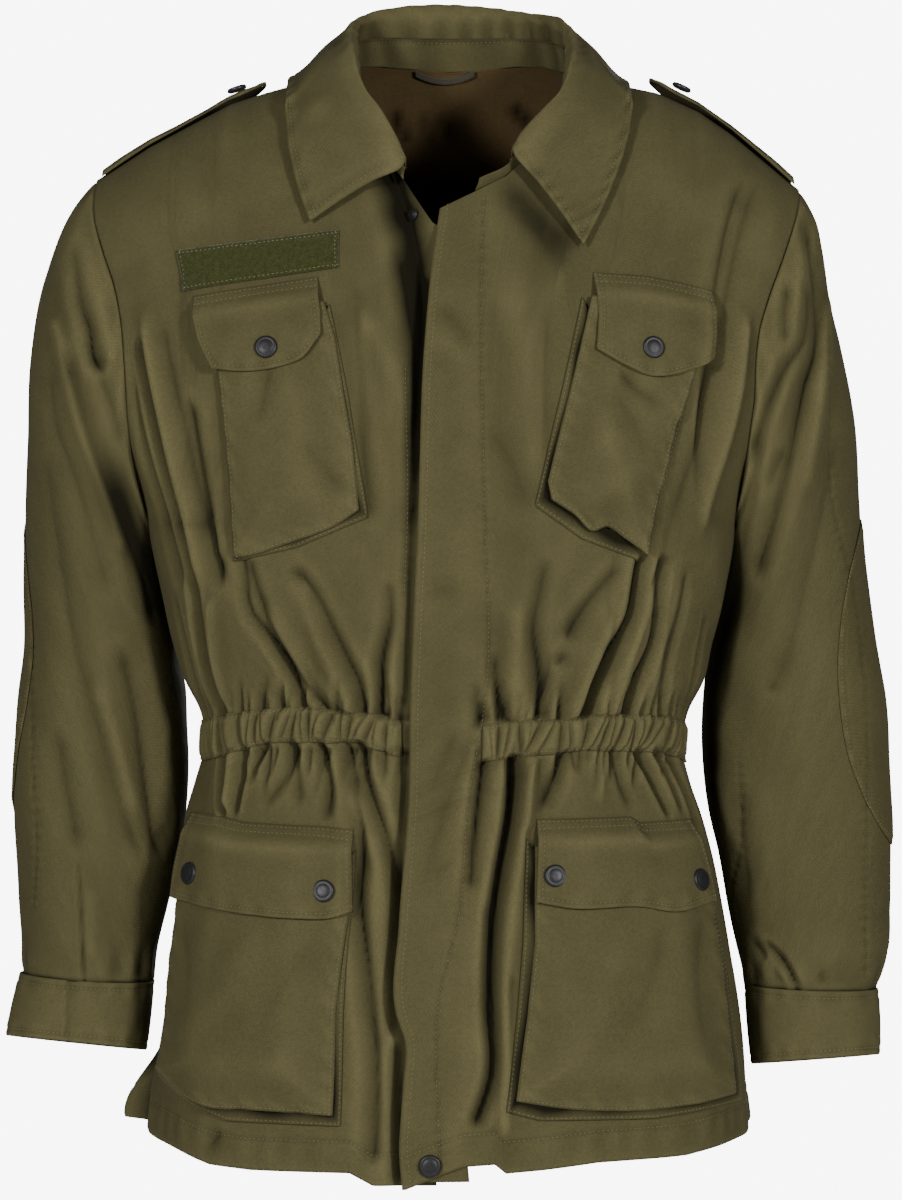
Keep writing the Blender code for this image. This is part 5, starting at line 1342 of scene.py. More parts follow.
def panel_sheets(angles, heights, facing, grow, seam_sides):
    """The panel's outer grid and, a cloth's thickness behind it, its lining."""
    face = body_point(angles, heights, facing, grow)
    lining = body_point(angles[::2, ::2], heights[::2, ::2], facing, lowest(grow) - CLOTH)
    return [part_edges(sheet, facing, seam_sides) for sheet in (face, lining)]


def free_edge_x(z, side):
    return fly_at(z, "x") + (FLY_UNDERLAP if side == RIGHT else 0)


def casing_edges(x, side):
    """Heights of the casing's upper and lower edge on a front."""
    return [np.interp(x, *np.array(edges[side], float).T) for edges in (CASING_TOP, CASING_BOTTOM)]


def under_casing(z, top, bottom):
    """How far the panel sinks where the casing covers it."""
    return -CASING_SINK * ease((top - z) / 3) * ease((z - bottom) / 3)


def hem_shape(rise, arc):
    """The turned hem: its stitched groove, the small waves over it and the round lower edge."""
    return edge_wave(arc, rise, "hem") - 0.7 * groove(rise, HEM_INSET) - 0.8 * falling(rise, 0.9)


def front(side):
    """One front, with its relief, its seams and its hem."""
    angles, heights = panel(
        lambda z: angle_of(free_edge_x(z, side), z, FRONT),
        lambda z: edge_angle(z, side, FRONT),
        FRONT,
        sorted([*shoulder_line(side), *NECK_FRONT[side]]),
        HEM_FRONT[side],
        FRONT_GRID,
        (NECK_CORNER[side],),
    )
    x = body_point(angles, heights, FRONT)[..., 0]
    arc = arc_of(x, heights, side)
    grow = front_relief(x, heights, side) + pucker((FRONT_STITCH[side],), arc, heights, 0.2)
    if side == LEFT:
        grow -= 0.8 * falling(x - free_edge_x(heights, side), 0.9)
    beside_fly = x > 20 if side == LEFT else x < -FLY_UNDERLAP - 4
    grow += under_casing(heights, *casing_edges(x, side)) * beside_fly
    grow += hem_shape(heights - heights[0], arc)
    face, lining = panel_sheets(angles, heights, FRONT, grow, (side,))
    # painted shadows beside the fly and under the collar's leaf
    shades = shade(FRONT_SHADES[side], x, heights)
    sign = shell(f"front_{SIDE_NAMES[side]}", face, lining, "cloth", shaded=shades)
    sew_edges(face, ("top",), HEM_INSET, sign)
    sew_line(FRONT_STITCH[side], side)
    if side == LEFT:
        sew_edges(face, ("near",), FLY_EDGE_STITCH, sign)


def sew_line(points, side):
    """Stitches along a line on a front."""
    x, z = fine_line(points, 8).T
    path, near, down = (
        on_front(x + aside, z - under, side, -0.2 * GROOVE_DEPTH) for aside, under in ((0, 0), (2, 0), (0, 2))
    )
    sew_along(path, np.cross(down - path, near - path))


def back():
    angles, heights = panel(
        lambda z: edge_angle(z, RIGHT, BACK),
        lambda z: edge_angle(z, LEFT, BACK),
        BACK,
        sorted([*shoulder_line(RIGHT), *NECK_BACK, *shoulder_line(LEFT)]),
        HEM_BACK,
        BACK_GRID,
        NECK_CORNER.values(),
    )
    grow = back_relief(angles, heights)
    grow += under_casing(heights, *back_casing_edges(angles))
    grow += hem_shape(heights - heights[0], angles * 200) + hem_flare(angles, heights)
    face, lining = panel_sheets(angles, heights, BACK, grow, (RIGHT, LEFT))
    # painted shade on the back's inner face, darkest below the neck, with painted shadows of its folds
    depth, top, top_fade, foot, foot_fade = PAINTED_BACK_SHADE
    rise = heights[::2, ::2]
    dark = depth * ease((top - rise) / top_fade) * ease((rise - foot) / foot_fade)
    dark += shade(BACK_SHADES, lining[..., 0], lining[..., 2])
    sign = shell("back", face, lining, "cloth", lined="back_inside", inner_shade=dark)
    sew_edges(face, ("top",), HEM_INSET, sign)


def back_relief(angles, z):
    """How far the back's cloth stands off the plain body."""
    if "back" not in _creases:
        tops = np.linspace(-1, 1, BACK_GATHERS) * CASING_LIMIT * GATHER_RADIUS
        _creases["back"] = back_rows() + gather_rows(tops, tops)
    half = half_at(angles, z, BACK)
    arc = angles * half
    side = np.where(angles < 0, edge_angle(z, RIGHT, BACK), edge_angle(z, LEFT, BACK))
    from_seam = (np.abs(side) - np.abs(angles)) * half
    from_top = shoulder_z(half * np.sin(angles)) - z
    soft = press(_creases["back"], arc, z) + drift(arc + 70, z) + pucker((CENTRE_SEAM,), arc, z, 0.25)
    return soft * ease(from_seam / SEAM_CALM) * ease(from_top / SEAM_CALM)


def back_casing_edges(angles):
    return [np.interp(angles, BACK_CASING_ANGLES, heights) for heights in BACK_CASING]


def fly_facing():
    """Inner layer of the fly, seen at the foot of the free edge."""
    rows, columns = FACING_GRID
    z, inward = np.meshgrid(np.linspace(*FACING_Z, rows), np.linspace(2.5, FLY_WIDTH, columns), indexing="ij")
    x = fly_at(z, "x") + inward
    near_casing = np.exp(-(((z - CASING_MIDDLE) / 25) ** 4))
    grow = front_relief(x, z, LEFT) - CLOTH - 1.1 - 0.8 * near_casing
    angles = angle_of(x, z, FRONT)
    face, behind = (body_point(angles, z, FRONT, grow - inset) for inset in (0.0, CLOTH))
    shell("fly_facing", face, behind[::2, ::2], "cloth")


# ---------------------------------------------------------------- casing
def casing_columns(side):
    """Angles of a front casing's gathers at its two edges, carried on round to the side seam."""
    half = float(half_width(CASING_MIDDLE, side, FRONT))
    angles = [[float(angle_of(x, CASING_MIDDLE, FRONT)) for x in pair] for pair in CASING_GATHERS[side]]
    outer = min(angles) if side == RIGHT else max(angles)
    step = GATHER_PITCH / half * SIDE_GATHERS
    while abs(outer[0]) + step < CASING_LIMIT:
        outer = [angle + side * step for angle in outer]
        angles.append(outer)
    return sorted(angles)


def gathered(angles, share, lines, half):
    """Height of the casing's cloth: round humps between sharp gathers, drawn in at its stitched edges."""
    lines = np.array(lines, float)
    result = np.zeros(angles.shape)
    for r, row in enumerate(angles):
        s = share[r, 0]
        here = np.sort((1 - s) * lines[:, 0] + s * lines[:, 1])
        k = np.clip(np.searchsorted(here, row), 1, len(here) - 1)
        gap = here[k] - here[k - 1]
        t = np.clip((row - here[k - 1]) / np.maximum(gap, 1e-6), 0, 1)
        deep = np.minimum(GATHER_DEPTH, 0.5 * gap * half)
        # a small sharp fold within each hump, leaning to either side by turns, where there is room for it
        within = 0.3 + 0.4 * part_of(k) + 0.3 * (s - 0.5) * np.where(k % 2, 1, -1)
        small = 0.6 * falling(np.abs(t - within), 0.07) * np.clip(gap * half / 9 - 0.5, 0, 1)
        result[r] = ((4 * t * (1 - t)) ** 0.7 - small) * deep
    full = np.sin(math.pi * np.clip((share - 0.05) / 0.9, 0, 1)) ** 0.6
    stitched = bell(share, 0.1, 0.035) + bell(share, 0.9, 0.035)
    return result * (0.5 + 0.5 * full) * (1 - 0.3 * stitched)


def casing_piece(name, facing, lines, start, end, columns, edges, base):
    """A length of casing between two angles, with its gathers, over the cloth that base describes."""
    share = np.repeat(np.linspace(0, 1, CASING_ROWS)[:, None], columns, 1)
    lean = np.array(lines, float)
    between = np.linspace(start, end, columns)
    shift = np.interp(between, lean.mean(1), lean[:, 1] - lean[:, 0])
    angles = between[None] + (share - 0.5) * np.where((between > start) & (between < end), shift, 0)[None]
    top, bottom = edges(between)
    z = (1 - share) * top + share * bottom
    half = float(half_width(CASING_MIDDLE, RIGHT, facing))
    lift = base(angles, z) - 0.1 + gathered(angles, share, lines, half)
    lift -= 0.6 * falling(np.minimum(share, 1 - share) * 27, 1.2)
    face = body_point(angles, z, facing, lift)
    lining = body_point(angles, z, facing, lift - 1.0)[::2, ::2]
    sew_edges(face, ("top", "bottom"), CASING_STITCH, shell(name, face, lining, "cloth"))


def casings():
    for side in (RIGHT, LEFT):
        lines = casing_columns(side)
        ends = (-CASING_LIMIT, lines[-1][0]) if side == RIGHT else (lines[0][0], CASING_LIMIT)

        def edges(angles, side=side):
            return casing_edges(body_point(angles, np.full(len(angles), CASING_MIDDLE), FRONT)[:, 0], side)

        def base(angles, z, side=side):
            return front_relief(body_point(angles, z, FRONT)[..., 0], z, side)

        casing_piece(f"casing_{SIDE_NAMES[side]}", FRONT, lines, *ends, CASING_COLUMNS, edges, base)
    places = np.linspace(-CASING_LIMIT, CASING_LIMIT, BACK_GATHERS)
    lines = [(at, at + 0.03 * math.sin(2.7 * i)) for i, at in enumerate(places)]
    ends = (-CASING_LIMIT, CASING_LIMIT)
    casing_piece("casing_back", BACK, lines, *ends, BACK_CASING_COLUMNS, back_casing_edges, back_relief)


# ---------------------------------------------------------------- sleeves
def ring_points(row, side, angles, inset=0.0, tilt=0.0):
    """Ring of a sleeve: angle 0 is its outer side and 90 degrees its front."""
    out_x, out_y, out_z, in_x, in_y, in_z, depth = row
    outer = np.array((side * out_x, out_y, out_z), float)
    inner = np.array((side * in_x, in_y, in_z), float)
    middle, arm = (outer + inner) / 2, (outer - inner) / 2
    arm = arm * (1 - inset / np.linalg.norm(arm))
    points = middle + np.cos(angles)[:, None] * arm
    points[:, 1] -= (depth - inset) * np.sin(angles)
    points[:, 2] += tilt * np.sin(angles)
    return points


def armhole_points(side, angles, inset=0.0):
    """Ring on the armhole seam, just outside the panels' edges."""
    heights, distances = ARMHOLE[side].T
    middle, half = armhole_span(side)
    z = middle + half * np.cos(angles)
    depth = armhole_half_depth(z, side) * np.sign(np.sin(angles))
    x = side * (smooth(z, heights, distances) + ARMHOLE_GAP)
    points = np.stack([x, body_at(z, "widest") - depth, z], -1)
    away = points - np.array((0, body_at(middle, "widest"), middle))
    away[:, 0] = 0
    return points - inset * away / np.linalg.norm(away, axis=1, keepdims=True)


def sleeve_rings(side, angles, inset):
    """The sleeve's rings: (rings, angles, 3), the first on the armhole seam."""
    heights, distances = ARMHOLE[side].T
    top_y, bottom_y = (float(body_at(z, "widest")) for z in (heights[-1], heights[0]))
    seam = (distances[-1], top_y, heights[-1], distances[0], bottom_y, heights[0], ARMHOLE_DEPTH)
    bow = (armhole_points(side, angles) - ring_points(seam, side, angles))[:, 0]
    rings = [armhole_points(side, angles, inset)]
    for k, row in enumerate(SLEEVE_RINGS[side]):
        ring = ring_points(row, side, angles, inset)
        ring[:, 0] += bow * max(0.0, 0.7 - 0.25 * k)
        rings.append(ring)
    return np.array(rings)


def finer(grid, rows):
    """The grid's rows made denser by cubics, spaced evenly along its middle."""
    at = lengths_along(grid.mean(1))
    return smooth(np.linspace(0, at[-1], rows), at, grid)


def sleeve_flat(x, z, side):
    """Distance round the sleeve's front or back, on the scale of x."""
    rows = np.array(SLEEVE_RINGS[side], float)
    outer = side * np.interp(-z, -rows[:, 2], rows[:, 0])
    inner = side * np.interp(-z, -rows[:, 5], rows[:, 3])
    middle, half = (outer + inner) / 2, np.abs(outer - inner) / 2
    return middle + half * np.arcsin(np.clip((x - middle) / half, -1, 1))


def flat_line(line, side):
    return [(float(sleeve_flat(x, z, side)), z) for x, z in line]


def sleeve_folds(points, side, angles):
    """Height of the sleeve's creases, lower and shallower behind, of its seams, and of its puckered ends."""
    x, z = points[..., 0], points[..., 2]
    flat = sleeve_flat(x, z, side)
    ahead, behind = [], []
    for half, start, end, *line in SLEEVE_CREASES[side]:
        line = flat_line(line, side)
        ahead.append((half, start, end, *line))
        behind.append((half * 1.15, start * 0.75, end * 0.75, *((a, b - BEHIND_DROP) for a, b in line)))
    in_front = ease(0.5 + 1.6 * np.sin(angles))[None]
    height = SLEEVE_GAIN * (press(ahead, flat, z) * in_front + press(behind, flat, z) * (1 - in_front))
    height += pucker([flat_line(line, side) for line in SLEEVE_SEAMS[side]], flat, z, 0.3) * in_front
    height += drift(flat + 40 * np.sin(angles)[None], z)
    from_top, from_cuff, _, _ = edge_distances(points)
    turns = np.degrees(angles)[None] * 2.2
    height += edge_wave(turns, from_top, "sleeve_top") + edge_wave(turns, from_cuff, "sleeve_end")
    at_pit = bell(angles, math.pi, PIT_TURN)[None] * bell(z, PIT_Z, PIT_REACH)
    height *= 1 - PIT_CALM * at_pit
    calm = ease(from_top / 8) * (0.4 + 0.6 * ease(from_cuff / 8))
    return height * calm - 1.4 * falling(from_top, 1.8) - 0.7 * falling(from_cuff, 1.0)


def moved_out(points, height):
    """Points moved away from the middle of their ring."""
    away = points - points.mean(axis=1, keepdims=True)
    return points + height[..., None] * away / np.linalg.norm(away, axis=-1, keepdims=True)


def sleeves():
    angles = np.linspace(0, 2 * math.pi, SLEEVE_AROUND, endpoint=False)
    for side, name in SIDE_NAMES.items():
        outer = finer(sleeve_rings(side, angles, 0.0), SLEEVE_ROWS)
        height = sleeve_folds(outer, side, angles)
        face = moved_out(outer, height)
        face[-1, :, 2] -= SEAM_TUCK
        inner = finer(sleeve_rings(side, angles, CLOTH), SLEEVE_ROWS)[::2, ::2]
        # painted shadow where the sleeve lies against the body
        shades = [(half, depth, *flat_line(line, side)) for half, depth, *line in SLEEVE_SHADES[side]]
        dark = shade(shades, sleeve_flat(outer[..., 0], outer[..., 2], side), outer[..., 2])
        shell(f"sleeve_{name}", face, moved_out(inner, lowest(height)), "cloth", around=True, shaded=dark)
        cuff(side, name, angles)
        elbow_patch(side, name, face)


def cuff(side, name, angles):
    sheets = []
    for inset in (0.0, DOUBLE):
        sheet = np.array([ring_points(row, side, angles, inset, CUFF_TILT) for row in CUFF_RINGS[side]])
        sheet[0, :, 2] -= CUFF_TILT * np.sin(angles)
        sheets.append(finer(sheet, CUFF_ROWS))
    from_top, from_edge, _, _ = edge_distances(sheets[0])
    turns = np.degrees(angles)[None] * 1.2
    height = edge_wave(turns, from_top, "cuff") + edge_wave(turns, from_edge, "cuff")
    height += 0.7 * np.sin(np.radians(turns * 2.5) + 1) - 0.05 * falling(from_top, 1.5)
    height -= 0.6 * groove(from_top, CUFF_STITCH) + 0.6 * groove(from_edge, CUFF_STITCH)
    height -= 0.7 * falling(from_edge, 1.0)
    if side == RIGHT:
        before = sheets[0][..., 0] - CUFF_END_X
        lapped = ease(before / 1.5) * ease((np.sin(angles)[None] - 0.1) * 6)
        height -= 1.5 * lapped * falling(np.maximum(before, 0), 14)
    face = moved_out(sheets[0], height)
    lining = moved_out(sheets[1], height)[::2, ::2]
    sign = shell(f"cuff_{name}", face, lining, "cloth", around=True)
    sew_edges(np.concatenate([face, face[:, :1]], 1), ("bottom", "top"), CUFF_STITCH, sign)


def elbow_patch(side, name, sleeve):
    """Oval patch over the elbow, taken from the sleeve's own points."""
    ring, angle, half_rings, half_angle = ELBOW_PATCH[side]
    u, v = np.meshgrid(np.linspace(-1, 1, PATCH_GRID), np.linspace(-1, 1, PATCH_GRID))
    across, down = u * np.sqrt(1 - v * v / 2), v * np.sqrt(1 - u * u / 2)
    coarse = np.linspace(0, 2 * math.pi, 24, endpoint=False)
    along_rings = lengths_along(sleeve_rings(side, coarse, 0.0).mean(1))
    places = np.interp(ring + half_rings * down, np.arange(len(along_rings)), along_rings)
    rows = places / along_rings[-1] * (SLEEVE_ROWS - 1)
    columns = (np.radians(angle + half_angle * across) / (2 * math.pi) % 1.0) * SLEEVE_AROUND
    i, j = rows.astype(int), columns.astype(int)
    s, t = (columns - j)[..., None], (rows - i)[..., None]
    k, after = j % SLEEVE_AROUND, (j + 1) % SLEEVE_AROUND
    upper, lower = ((1 - s) * sleeve[row, k] + s * sleeve[row, after] for row in (i, i + 1))
    point = (1 - t) * upper + t * lower
    away = point - sleeve.mean(axis=1)[i]
    away /= np.linalg.norm(away, axis=-1, keepdims=True)
    inside = np.minimum.reduce(edge_distances(point))
    wave = 0.35 * np.sin(places / 2.6) * bell(inside, 4, 4)
    lift = 1.7 - 0.7 * falling(inside, 1.2) - 0.5 * groove(inside, 4) + wave
    face = point + lift[..., None] * away
    lining = (point + 0.4 * away)[::2, ::2]
    sign = shell(f"elbow_patch_{name}", face, lining, "patch_cloth", kind="cloth")
    sew_edges(face, ALL_ROUND, PATCH_STITCH, sign)


# ---------------------------------------------------------------- collar
def collar_stations(count):
    """The collar's rows, evened out along the roll: neck, roll and edge points."""
    neck, edge = [], []
    roll = np.array([row[2:5] for row in COLLAR_ROWS], float)
    for i, (x, z, *_, edge_x, edge_z, edge_face) in enumerate(COLLAR_ROWS):
        neck_face = BACK if i in BEHIND_NECK else FRONT
        neck.append(body_point(angle_of(x, z, neck_face), z, neck_face))
        edge.append(body_point(angle_of(edge_x, edge_z, edge_face), edge_z, edge_face, LEAF_CLEAR))
    place = lengths_along(roll)
    even = np.linspace(0, place[-1], count)
    return [smooth(even, place, np.array(points)) for points in (neck, roll, edge)]


def outward(points):
    away = points[..., :2] - np.array(NECK_MIDDLE)
    away = away / np.linalg.norm(away, axis=-1, keepdims=True)
    return np.concatenate([away, np.zeros_like(away[..., :1])], axis=-1)


def collar_sheets():
    """The collar's under and upper face, from the neck seam over the roll to the free edge."""
    neck, roll, edge = collar_stations(COLLAR_COLUMNS)
    out, up = outward(roll), np.array((0, 0, 1.0))
    drop = np.minimum(3.0, 0.25 * np.linalg.norm(roll - neck, axis=1, keepdims=True))
    seam = neck + STAND_SHARE * (roll - neck)
    near, far = roll - out * ROLL_HALF - up * drop, roll + out * ROLL_HALF - up * drop
    leaf = [(1 - s) * far + s * edge + (out * 0.6 + up * 0.8) * 9 * s * (1 - s) for s in (0.3, 0.65)]
    rows = [neck, (neck + seam) / 2, seam, (seam + near) / 2, near, roll + up * 0.4, far]
    rows += [clear_of_body(points, LEAF_CLEAR) for points in leaf] + [clear_of_body(edge, LEAF_CLEAR)]
    under = np.array(rows)
    last = under[:, -1:]
    under = np.concatenate([under, last + (np.array(STAND_END) - last[0])], axis=1)
    upper = under + DOUBLE * unit_normals(under)
    upper[: NEAR_ROW + 1] = under[: NEAR_ROW + 1] - outward(under[: NEAR_ROW + 1]) * DOUBLE
    return under, upper


def dense(grid, rows, columns):
    """The grid made denser by cubics both ways."""
    across = lengths_along(grid.mean(0))
    wide = smooth(np.linspace(0, across[-1], columns), across, grid.swapaxes(0, 1)).swapaxes(0, 1)
    return finer(wide, rows)


def collar():
    under, upper = collar_sheets()
    climb = under[3] - under[1]
    part = climb / np.linalg.norm(climb, axis=1, keepdims=True) * LEAF_SEAM_GAP / 2
    stand, leaf = (slice(0, SEAM_ROW + 1), slice(None)), (slice(SEAM_ROW, None), slice(0, -1))
    for name, sign, place, size, relief, edges, inset in (
        ("collar_stand", -1, stand, STAND_GRID, stand_relief, ("bottom",), STAND_STITCH),
        ("collar", 1, leaf, COLLAR_GRID, leaf_relief, FREE_EDGES, COLLAR_STITCH),
    ):
        sheets = []
        for sheet in (upper, under):
            moved = sheet.copy()
            moved[SEAM_ROW] += sign * part
            sheets.append(dense(moved[place], *size))
        face, lining = sheets[0], sheets[1][::2, ::2]
        outwards = 1.0 if faces_out(face, lining) else -1.0
        face = face + outwards * relief(face)[..., None] * unit_normals(face)
        shell(name, face, lining, "cloth", lined="cloth")
        sew_edges(face, edges, inset, outwards)


def leaf_relief(face):
    """Height of the collar's edge, its stitched line, its wrinkles along the neck seam and its creases."""
    from_top, from_edge, from_start, from_end = edge_distances(face)
    inside = from_free_edges(face)
    height = edge_wave(from_start, inside, "collar_edge") - 0.7 * falling(inside, 1.1)
    height -= 0.6 * groove(inside, COLLAR_STITCH)
    height += 1.5 * np.sin(from_start / 23 + from_edge / 31) * ease(inside / 15)
    wrinkle = edge_wave(from_start, from_top, "collar_seam")
    height += wrinkle * ease((from_start - 60) / 30) * ease((from_end - 60) / 30)
    return height + press(COLLAR_CREASES, from_start, from_edge)


def stand_relief(face):
    """Height of the stand's crumples, and its stitched line."""
    _, from_edge, from_start, _ = edge_distances(face)
    wave = 0.9 * ripple(from_start, *STAND_WAVE) * ease(from_edge / 6)
    return wave - 0.6 * groove(from_edge, STAND_STITCH)


def hanger_loop():
    rows, columns = LOOP_GRID
    start, end = LOOP_ENDS
    share, across = np.meshgrid(np.linspace(0, 1, columns), np.linspace(0.5, -0.5, rows) * LOOP_WIDTH)
    x = start + (end - start) * share
    z = LOOP_Z - LOOP_SAG * 4 * share * (1 - share) + across
    face, behind = (body_point(angle_of(x, z, BACK), z, BACK, -inset) for inset in LOOP_INSETS)
    shell("hanger_loop", face, behind[::2, ::2], "tape", lined="tape")


# ---------------------------------------------------------------- shoulder straps
def strap_lift(share, side):
    low, high = STRAP[side][4:]
    return low + (high - low) * share**2


def strap(side, name):
    start, tip, half, middle_y = STRAP[side][:4]
    rows, columns = STRAP_GRID
    share = 1 - (1 - np.linspace(0, 1, rows)) ** 1.3
    nose = np.sqrt(np.clip(1 - (np.clip(share - 0.8, 0, 1) / 0.2005) ** 2, 0, 1))
    across = np.linspace(-1, 1, columns)[None]
    x = (start + (tip - start) * share)[:, None] + 0 * across
    y = middle_y + across * (half * np.maximum(nose, 0.02))[:, None]
    z = shoulder_top(x, y) + strap_lift(share, side)[:, None]
    point = np.stack([x, y, z], -1)
    down, inside = run_along(point, 0), from_free_edges(point)
    height = -0.7 * falling(inside, 1.0) - 0.6 * groove(inside, STRAP_STITCH)
    height += edge_wave(down, inside, "strap")
    height += 0.8 * np.sin(down / 21 + 1.1) * ease(down / 15)
    up = np.array((0, 0, 1.0))
    face, lining = point + height[..., None] * up, (point - DOUBLE * up)[::2, ::2]
    sign = shell(f"shoulder_strap_{name}", face, lining, "cloth")
    sew_edges(face, ("near", "far"), STRAP_STITCH, sign, ends=(0.0, STRAP_STITCHED))


def strap_button(side, name):
    x, y = STRAP_BUTTON_X[side], STRAP[side][3]
    start, tip = STRAP[side][:2]
    slope = float(shoulder_top(x + 5, y) - shoulder_top(x - 5, y)) / 10
    normal = np.array((-slope, 0, 1.0))
    lift = float(strap_lift((x - start) / (tip - start), side)) + 2 * SEAM_GAP
    point = np.array((x, y, float(shoulder_top(x, y)))) + lift * normal
    profile = np.array(BUTTON_PROFILE) * (BUTTON_RADIUS, 1)
    turned(f"strap_button_{name}", "disc", profile, point, normal, "button_plastic")


def turned(node, kind, profile, point, normal, finish):
    """Round piece from a profile of radii and heights, standing on a point."""
    angles = np.linspace(0, 2 * math.pi, ROUND_STEPS, endpoint=False)
    out = np.asarray(normal, float) / np.linalg.norm(normal)
    across = np.cross(out, (0.0, 1.0, 0.0))
    across /= np.linalg.norm(across)
    aside = np.cross(out, across)
    spread = np.cos(angles)[:, None] * across + np.sin(angles)[:, None] * aside
    rings = point + profile[1:-1, None, :1] * spread[None] + profile[1:-1, None, 1:] * out
    top, bottom = point + profile[0, 1] * out, point + profile[-1, 1] * out
    points = np.concatenate([[top], rings.reshape(-1, 3), [bottom]])
    around = np.r_[np.arange(ROUND_STEPS), 0]
    index = (1 + np.arange(len(profile) - 2)[:, None] * ROUND_STEPS + around[None]).tolist()
    faces = [(0, a, b) for a, b in zip(index[0], index[0][1:])]
    for upper, lower in zip(index, index[1:]):
        faces += [(upper[k], lower[k], lower[k + 1], upper[k + 1]) for k in range(ROUND_STEPS)]
    faces += [(len(points) - 1, b, a) for a, b in zip(index[-1], index[-1][1:])]
    name = f"{node}_{kind}"
    mesh = mesh_of(name, points, faces, finish)
    mesh.validate()
    declare(linked(name, mesh), node)


# ---------------------------------------------------------------- pockets and what lies on the fronts
def laid(name, grid, side, lift, thickness, finish="cloth", shaded=0.0):
    """Piece of cloth lying over a front: its outer grid, and the sign of that grid's normals."""
    x, z = grid[..., 0], grid[..., 1]
    face = on_front(x, z, side, lift)
    lining = on_front(x, z, side, lift - thickness)[::2, ::2]
    return face, shell(name, face, lining, finish, shaded=shaded)


def rounded_off(edges):
    """The four edges of a piece, the lower one as a smooth curve."""
    top, bottom, near, far = edges
    return top, fine_line(bottom, 8), near, far


def pocket_wall(kind, side, pieces, size):
    """The pocket's front: full in the middle, turned down at its edges, with its own creases."""
    grid = patch(rounded_off(pieces["wall"]), *size)
    x, z = grid[..., 0], grid[..., 1]
    _, bottom, near, far = edge_distances(grid)
    inside = from_free_edges(grid)
    full = ease(inside / FILL_WIDTH) * POCKET_FULL[kind]
    wave = 0.35 * np.sin((x + z) / 2.7 + 1.5 * np.sin((x - z) / 21)) * bell(inside, 4, 5)
    lift = POCKET_LIFT + full - WALL_TURN * falling(inside, 1.6) - 0.5 * groove(inside, POCKET_STITCH) + wave
    lift += press(POCKET_CREASES[side], x, z)
    curl = (0.6 + 0.4 * np.sin(x / 6.5 + 1.2)) * falling(bottom, 9) + 0.6 * falling(np.minimum(near, far), 9)
    lift += LIP_CURL[kind, side] * curl
    return grid, np.maximum(lift, POCKET_LIFT - WALL_TURN)


def pocket(kind, side, pieces):
    name = SIDE_NAMES[side]
    wall_size, flap_size, rim_points = POCKET_GRIDS[kind]
    face, sign = bellows(kind, side, pieces, rim_points)
    sew_edges(face, ("top",), BELLOWS_STITCH, sign)
    grid, lift = pocket_wall(kind, side, pieces, wall_size)
    face, sign = laid(f"{kind}_pocket_{name}", grid, side, lift, CLOTH)
    sew_edges(face, FREE_EDGES, POCKET_STITCH, sign)
    raised = lift_under(kind, pieces)
    flap(kind, side, name, pieces, flap_size, raised)
    for suffix, (x, z) in pieces["snaps"].items():
        snap(f"{kind}_snap_{name}{suffix}", x, z, side, FLAP_LIFT + SNAP_GAP + float(raised(x, z)))


def bellows(kind, side, pieces, rim_points):
    """Cloth between the front and the pocket's wall, seen as a strip along the pocket's rim."""
    rim = along(pieces["rim"], np.linspace(0, 1, rim_points))
    inward = np.array(pieces["middle"], float) - rim
    inward /= np.linalg.norm(inward, axis=1, keepdims=True)
    steps = np.linspace(0, 1, BELLOWS_ROWS)[:, None]
    grid = rim[None] + inward[None] * (steps * BELLOWS_WIDTH)[..., None]
    wave = 0.8 * ripple(lengths_along(rim)[None], *BELLOWS_WAVE) * np.sin(math.pi * steps)
    lift = 1.6 + (POCKET_LIFT - CLOTH - 2.0) * steps**0.7 + wave
    lift = np.minimum(lift, POCKET_LIFT - CLOTH - 0.4)
    # painted shade, deeper toward the bellows' inner edge under the pocket
    return laid(f"{kind}_bellows_{SIDE_NAMES[side]}", grid, side, lift, 1.0, shaded=BELLOWS_SHADE * steps)


def lift_under(kind, pieces):
    """How much the full pocket raises the flap over it."""
    left, right = np.array(pieces["wall"][2], float), np.array(pieces["wall"][3], float)

    def raised(x, z):
        near = x - np.interp(-z, -left[:, 1], left[:, 0])
        far = np.interp(-z, -right[:, 1], right[:, 0]) - x
        return ease(np.minimum(near, far) / FILL_WIDTH) * POCKET_FULL[kind] * FLAP_FULL

    return raised


def flap(kind, side, name, pieces, size, raised):
    grid = patch(rounded_off(pieces["flap"]), *size)
    x, z = grid[..., 0], grid[..., 1]
    top, bottom, _, _ = edge_distances(grid)
    inside = from_free_edges(grid)
    lift = PANEL_GAP + CLOTH + (FLAP_LIFT - PANEL_GAP - CLOTH + raised(x, z)) * ease(top / 16)
    lift += FLAP_CURL * ease((top - 12) / 30) - 0.7 * falling(inside, 1.0) - 0.9 * falling(top, 1.2)
    lift -= 0.5 * groove(inside, FLAP_STITCH)
    for inset in FLAP_TOP_STITCHES:
        lift -= 0.5 * groove(top, inset)
    lift += edge_wave(x, bottom, "flap")
    lift += 0.7 * np.sin(x / 17 + FLAP_PHASE[kind] + side) * ease(top / 25)
    for snap_x, snap_z in pieces["snaps"].values():
        lift -= 0.9 * np.exp(-(((x - snap_x) ** 2 + (z - snap_z) ** 2) / 150)) * ease(top / 20)
    face, sign = laid(f"{kind}_flap_{name}", grid, side, lift, CLOTH)
    sew_edges(face, FREE_EDGES, FLAP_STITCH, sign)
    for inset in FLAP_TOP_STITCHES:
        sew_edges(face, ("top",), inset, sign)


def snap(name, x, z, side, lift, radius=SNAP_RADIUS):
    """Snap fastener's cap: a domed middle in a grooved, rolled rim, left plain."""
    x, z = np.array(float(x)), np.array(float(z))
    point = on_front(x, z, side, lift)
    across, up = on_front(x + 3, z, side, lift) - point, on_front(x, z + 3, side, lift) - point
    turned(name, "cap", np.array(SNAP_PROFILE) * (radius, 1), point, np.cross(across, up), "snap_metal")


